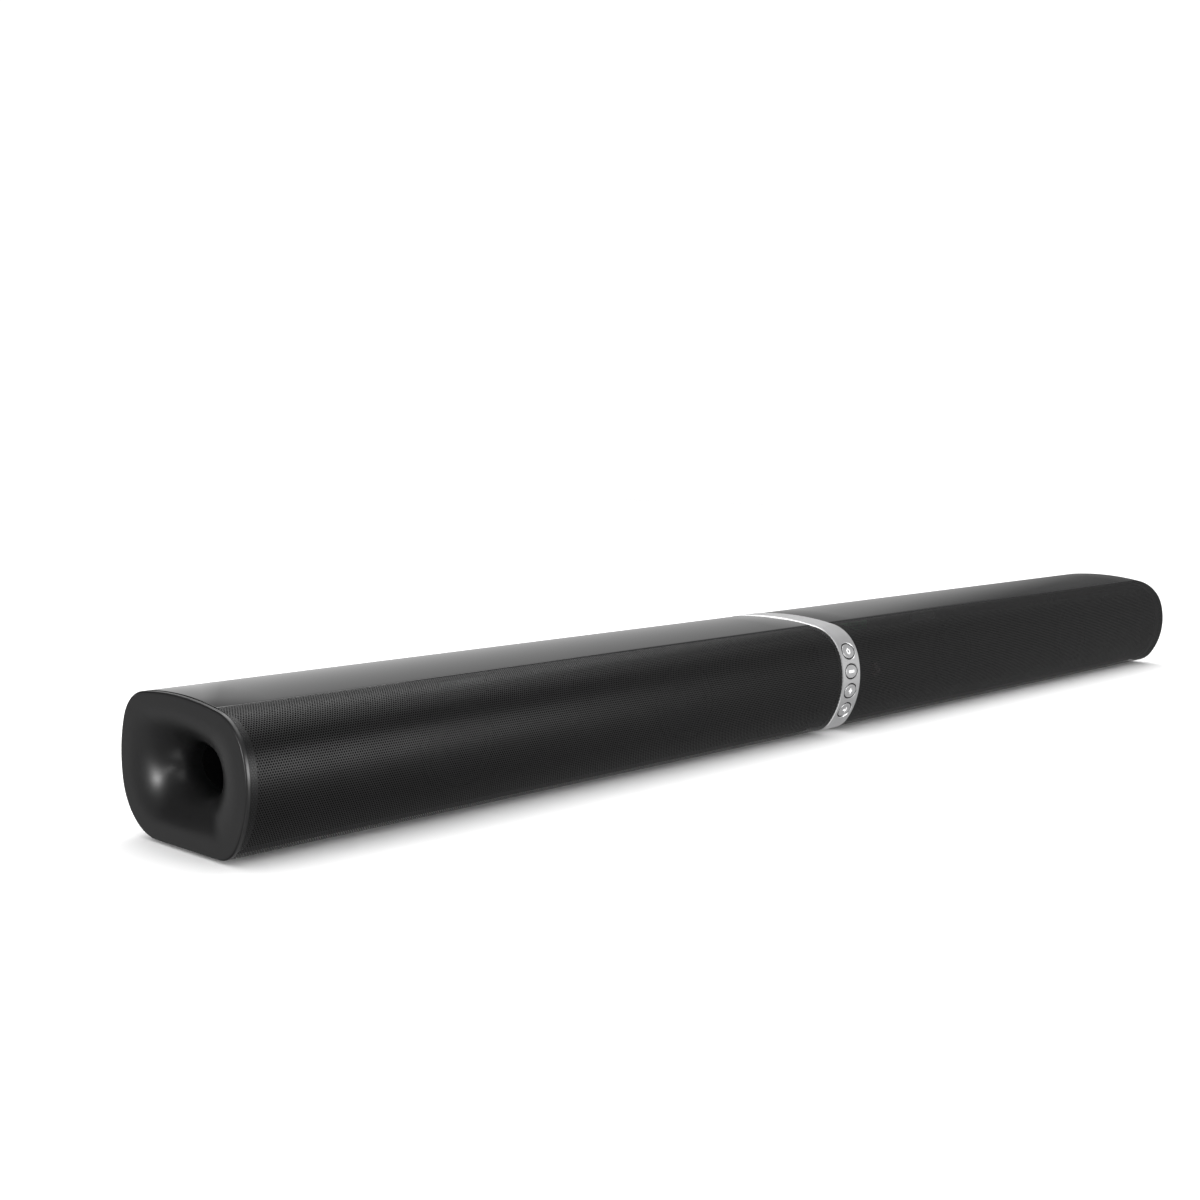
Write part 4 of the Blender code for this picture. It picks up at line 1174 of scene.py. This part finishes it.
def button_face(outline, ring, height, plane):
    """The button's front at (x, z) about its middle: the band's own curve, hollowed by dish at the middle."""
    radius = np.hypot(plane[..., 0] / ring.button_half_width, plane[..., 1] / ring.button_half_height)
    hollow = ring.dish * np.clip(1 - radius**2, 0.0, 1.0)
    return outline.surface(plane[..., 0], outline.length_at_z(height + plane[..., 1]), hollow - ring.proud)


def make_button(context, outline, name, height, count=72, pole=0.03):
    """A hollowed cap with a rounded edge, a flange behind the ring and a stem to its switch."""
    ring = context.scene.soundbar_ring
    angles = np.arange(count) * 2 * math.pi / count
    half = np.array([ring.button_half_width, ring.button_half_height])
    oval = np.column_stack([np.cos(angles), np.sin(angles)]) * half
    normal = oval / half**2
    normal /= np.linalg.norm(normal, axis=1, keepdims=True)
    inner = oval - normal * ring.button_round
    scales = np.linspace(pole, 1.0, 12)[:, None, None]
    front = button_face(outline, ring, height, inner * scales)
    turns = np.linspace(0.0, math.pi / 2, 6)[1:]

    def walled(grow, inset):
        """The button's oval, grown outwards, at a depth below the outline."""
        plane = oval + normal * grow
        return outline.surface(plane[:, 0], outline.length_at_z(height + plane[:, 1]), inset)

    rounded = [
        walled(-ring.button_round * (1 - lean), -ring.proud + ring.button_round * (1 - rise))
        for lean, rise in zip(np.sin(turns), np.cos(turns), strict=True)
    ]
    behind = ring.wall + outline.section.gap
    circle = np.column_stack([np.cos(angles), np.sin(angles)]) * ring.stem_radius
    stem_start = outline.surface(
        circle[:, 0], outline.length_at_z(height + circle[:, 1]), behind + ring.flange
    )
    stem_end = stem_start.copy()
    stem_end[:, 1] = ring.stem_end
    loops = np.concatenate(
        [
            front,
            rounded,
            [
                walled(0.0, behind),
                walled(ring.flange, behind),
                walled(ring.flange, behind + ring.flange),
                stem_start,
                stem_end,
            ],
        ]
    )
    points, faces = carried(loops)
    # The button's side wall, flange and stem are painted near-black as painted shade in the gap round the
    # button; its front stays silver.
    materials = [button_paint(context.scene.soundbar_finishes), painted_gap_shade()]
    tube = (len(loops) - 1) * count
    shade_faces = np.arange(len(faces)) >= (len(front) + len(rounded) - 1) * count
    shade_faces[tube : tube + count // 2 - 1] = False
    made = solid_object(f"{name}_key", (points, faces), materials, shade_faces)
    place(made, f"{name}_button", "button", f"{name}_button")
    for number, (middle_line, width) in enumerate(icon_strokes(ring, name)):
        make_stroke(context, outline, name, height, number, middle_line, width)


def icon_strokes(ring, name):
    """The strokes of one button's generic icon, each a middle line of (x, z) points in metres and a width."""
    stroke = ring.icon_stroke
    if name == "power":
        turns = np.radians(np.linspace(130.0, 410.0, 40))
        arc = np.column_stack([np.cos(turns), np.sin(turns)]) * 1.6 * stroke
        return [(arc, stroke), (np.array([[0.0, 0.8 * stroke], [0.0, 2.3 * stroke]]), stroke)]
    if name == "minus":
        return [(np.array([[-3.3, 0.0], [3.3, 0.0]]) * stroke, 1.9 * stroke)]
    if name == "plus":
        lines = ([[-2.0, 0.0], [2.0, 0.0]], [[0.0, 0.6], [0.0, 2.0]], [[0.0, -2.0], [0.0, -0.6]])
        return [(np.array(line) * stroke, 1.2 * stroke) for line in lines]
    turns = np.radians(np.linspace(-70.0, 70.0, 24))
    bow = np.column_stack([np.cos(turns), np.sin(turns)]) * 1.7 * stroke
    return [(bow, stroke), (np.array([[-2.3, 0.0], [0.5, 0.0]]) * stroke, 1.4 * stroke)]


def make_stroke(context, outline, name, height, number, middle_line, width, cells=16):
    """One printed stroke: a low closed bar with square ends, laid on the button's hollowed face."""
    ring = context.scene.soundbar_ring
    place_along = np.linspace(0.0, 1.0, len(middle_line))
    dense = np.linspace(0.0, 1.0, max(cells, len(middle_line)))
    line = np.column_stack([np.interp(dense, place_along, column) for column in middle_line.T])
    heading = np.gradient(line, axis=0)
    heading /= np.linalg.norm(heading, axis=1, keepdims=True)
    sideways = np.column_stack([-heading[:, 1], heading[:, 0]])
    spread = np.linspace(-0.5, 0.5, 5) * width
    plane = line[:, None, :] + sideways[:, None, :] * spread[None, :, None]
    face = button_face(outline, ring, height, plane)
    top = face - (0.0, ring.icon_rise, 0.0)
    under = face + (0.0, ring.icon_rise, 0.0)
    loops = np.concatenate([top, under[:, ::-1]], axis=1)
    made = solid_object(
        f"{name}_icon_{number + 1}", carried(loops), [icon_print(context.scene.soundbar_finishes)]
    )
    place(made, f"{name}_button", "button")


# ---------------------------------------------------------------- feet and inner parts


def make_foot(context, node, count=64, pole=0.02):
    """A rubber foot turned about its own upright axis, with its lower edge rounded."""
    skins = context.scene.soundbar_skins
    low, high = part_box(node)
    middle = ((low[0] + high[0]) / 2, (low[1] + high[1]) / 2)
    turns = np.linspace(0.0, math.pi / 2, 6)
    ease = skins.foot_ease
    radii = np.concatenate([[pole * skins.foot_radius], skins.foot_radius - ease * (1 - np.sin(turns))])
    heights = np.concatenate([[low[2]], low[2] + ease * (1 - np.cos(turns))])
    radii = np.concatenate([radii, [skins.foot_radius, pole * skins.foot_radius]])
    heights = np.concatenate([heights, [high[2], high[2]]])
    angles = np.arange(count) * 2 * math.pi / count
    x = middle[0] + radii[:, None] * np.cos(angles)
    y = middle[1] + radii[:, None] * np.sin(angles)
    loops = np.stack(np.broadcast_arrays(x, y, heights[:, None]), axis=-1)
    made = solid_object(node.replace("_foot", "_pad"), carried(loops), [black_rubber()])
    place(made, HOUSING, "rubber", node)


def finish_inner_parts(context):
    """Gives each CAD part that still shows the material of what it is."""
    by_word = inner_finishes(context.scene.soundbar_finishes)
    for name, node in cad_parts.items():
        if node.hide_render:
            continue
        words = [word for word in by_word if word in name]
        if not words:
            raise ValueError(f"{name} has no finish")
        word = max(words, key=len)
        node.data.materials.clear()
        node.data.materials.append(by_word[word])


# ---------------------------------------------------------------- stage


def make_floor(stage):
    """A plain pale square floor."""
    half = stage.floor_size / 2
    steps = np.linspace(-half, half, 9)
    points = np.stack(np.broadcast_arrays(steps[None, :], steps[:, None], 0.0), axis=-1)
    material = mottled("pale_floor", tuple(stage.floor), 0.9, 40.0, 0.0, 0.01, 2.0)
    made = mesh_object("floor", *grid(points), [material])
    made.visible_glossy = False


def make_world(stage):
    """White surroundings; what glossy parts mirror is a studio whose tone changes with the direction.

    The tone follows one of three ramps over the direction's azimuth: for directions just above the horizon,
    below it, and steeply up or down. The shares change smoothly with the direction's upward part.
    """
    world = bpy.data.worlds.new("studio")
    bpy.context.scene.world = world
    tree = ShaderTree(world)
    glossy = tree.node("ShaderNodeLightPath", output="Is Glossy Ray")
    direction = tree.node("ShaderNodeTexCoord", output="Generated")
    x, y, z = (
        tree.node("ShaderNodeSeparateXYZ", inputs={"Vector": direction}, output=axis) for axis in "XYZ"
    )
    turn = y.math("ARCTAN2", y, x) / (2 * math.pi) + 0.5
    tones = []
    for table in (LOW_TONES, HORIZON_TONES, STEEP_TONES):
        stops = [((degrees + 180.0) / 360.0, (tone,) * 3) for degrees, tone in table]
        tones.append(tree.node("ShaderNodeValToRGB", {"stops": stops}, {"Fac": turn}, "Color"))
    shares = []
    for height, (start, end) in ((z, LOW_START), (z.math("ABSOLUTE", z, 0.0), STEEP_START)):
        shares.append(
            tree.node(
                "ShaderNodeMapRange",
                {"interpolation_type": "SMOOTHSTEP"},
                {"Value": height, "From Min": start, "From Max": end},
                "Result",
            )
        )
    level = tones[0] * (1 - shares[0]) + tones[1] * shares[0]
    mirrored = level * (1 - shares[1]) + tones[2] * shares[1]
    strength = stage.backdrop + glossy * (mirrored * stage.mirrored - stage.backdrop)
    light = tree.node("ShaderNodeBackground", inputs={"Color": (1.0, 1.0, 1.0, 1.0), "Strength": strength})
    tree.node("ShaderNodeOutputWorld", inputs={"Surface": light})
    world.cycles.sampling_method = "NONE"


def make_light(name, location, target, size, energy):
    """A soft rectangular lamp aimed at a point and hidden from the camera."""
    lamp = bpy.data.lights.new(name, "AREA")
    lamp.shape = "RECTANGLE"
    lamp.size, lamp.size_y = size
    lamp.energy = energy
    made = bpy.data.objects.new(name, lamp)
    bpy.context.scene.collection.objects.link(made)
    made.location = location
    aim = made.location - Vector(target)
    made.rotation_euler = aim.to_track_quat("Z", "Y").to_euler()
    made.visible_camera = False


def make_camera(stage):
    """The camera at the stage's place and turn."""
    camera = bpy.data.cameras.new("camera")
    camera.lens = stage.lens
    camera.sensor_width = 36.0
    camera.clip_start = 0.01
    made = bpy.data.objects.new("camera", camera)
    bpy.context.scene.collection.objects.link(made)
    made.location = stage.camera_place
    made.rotation_euler = stage.camera_turn
    bpy.context.scene.camera = made


# ---------------------------------------------------------------- operators


def make_both(context, make_half):
    """Makes a piece for the left half and for the right."""
    outline = Outline(context.scene.soundbar_section)
    for name, side in SIDES.items():
        make_half(context, outline, name, side)


class SOUNDBAR_OT_grilles(bpy.types.Operator):
    """Make both halves' perforated sheets"""

    bl_idname = "soundbar.grilles"
    bl_label = "Grilles"

    def execute(self, context):
        make_both(context, make_grille)
        return {"FINISHED"}


class SOUNDBAR_OT_top_panels(bpy.types.Operator):
    """Make both halves' gloss top panels"""

    bl_idname = "soundbar.top_panels"
    bl_label = "Top panels"

    def execute(self, context):
        make_both(context, make_top_panel)
        return {"FINISHED"}


class SOUNDBAR_OT_rear_shells(bpy.types.Operator):
    """Make both halves' shells with their windows"""

    bl_idname = "soundbar.rear_shells"
    bl_label = "Rear shells"

    def execute(self, context):
        make_both(context, make_rear_shell)
        return {"FINISHED"}


class SOUNDBAR_OT_end_caps(bpy.types.Operator):
    """Make both end caps with their horns"""

    bl_idname = "soundbar.end_caps"
    bl_label = "End caps"

    def execute(self, context):
        make_both(context, make_end_cap)
        return {"FINISHED"}


class SOUNDBAR_OT_control_ring(bpy.types.Operator):
    """Make the metal band between the halves"""

    bl_idname = "soundbar.control_ring"
    bl_label = "Control ring"

    def execute(self, context):
        make_control_ring(context, Outline(context.scene.soundbar_section))
        return {"FINISHED"}


class SOUNDBAR_OT_buttons(bpy.types.Operator):
    """Make the four buttons and their printed icons"""

    bl_idname = "soundbar.buttons"
    bl_label = "Buttons"

    def execute(self, context):
        outline = Outline(context.scene.soundbar_section)
        for name, height in button_heights(context.scene.soundbar_ring).items():
            make_button(context, outline, name, height)
        return {"FINISHED"}


class SOUNDBAR_OT_feet(bpy.types.Operator):
    """Make the four rubber feet"""

    bl_idname = "soundbar.feet"
    bl_label = "Feet"

    def execute(self, context):
        for name in SIDES:
            for end in ("front", "back"):
                make_foot(context, f"{name}_{end}_foot")
        return {"FINISHED"}


class SOUNDBAR_OT_inner_parts(bpy.types.Operator):
    """Give the drivers, boards, sockets and other inner parts their finishes"""

    bl_idname = "soundbar.inner_parts"
    bl_label = "Inner parts"

    def execute(self, context):
        finish_inner_parts(context)
        return {"FINISHED"}


class SOUNDBAR_OT_stage(bpy.types.Operator):
    """Make the floor, the lights and the camera"""

    bl_idname = "soundbar.stage"
    bl_label = "Stage"

    def execute(self, context):
        stage = context.scene.soundbar_stage
        make_floor(stage)
        make_world(stage)
        for lamp in LAMPS:
            make_light(*lamp)
        make_camera(stage)
        context.scene.view_settings.view_transform = "Standard"
        return {"FINISHED"}


class SOUNDBAR_PT_parts(bpy.types.Panel):
    """Lists the soundbar's parts and the stage"""

    bl_idname = "SOUNDBAR_PT_parts"
    bl_label = "Soundbar"
    bl_space_type = "VIEW_3D"
    bl_region_type = "UI"
    bl_category = "Soundbar"

    def draw(self, _context):
        for operator in OPERATORS:
            self.layout.operator(operator.bl_idname)


OPERATORS = (
    SOUNDBAR_OT_grilles,
    SOUNDBAR_OT_top_panels,
    SOUNDBAR_OT_rear_shells,
    SOUNDBAR_OT_end_caps,
    SOUNDBAR_OT_control_ring,
    SOUNDBAR_OT_buttons,
    SOUNDBAR_OT_feet,
    SOUNDBAR_OT_inner_parts,
    SOUNDBAR_OT_stage,
)


def register():
    """Adds the property groups, the operators and the panel."""
    for group in GROUPS.values():
        bpy.utils.register_class(group)
    for name, group in GROUPS.items():
        setattr(bpy.types.Scene, name, PointerProperty(type=group))
    for operator in OPERATORS:
        bpy.utils.register_class(operator)
    bpy.utils.register_class(SOUNDBAR_PT_parts)


def unregister():
    """Takes the panel, the operators and the property groups out again."""
    bpy.utils.unregister_class(SOUNDBAR_PT_parts)
    for operator in reversed(OPERATORS):
        bpy.utils.unregister_class(operator)
    for name, group in GROUPS.items():
        delattr(bpy.types.Scene, name)
        bpy.utils.unregister_class(group)


def main():
    """Makes the whole bar and its stage."""
    register()
    bpy.ops.soundbar.grilles()
    bpy.ops.soundbar.top_panels()
    bpy.ops.soundbar.rear_shells()
    bpy.ops.soundbar.end_caps()
    bpy.ops.soundbar.control_ring()
    bpy.ops.soundbar.buttons()
    bpy.ops.soundbar.feet()
    bpy.ops.soundbar.inner_parts()
    bpy.ops.soundbar.stage()


if __name__ == "__main__":
    main()
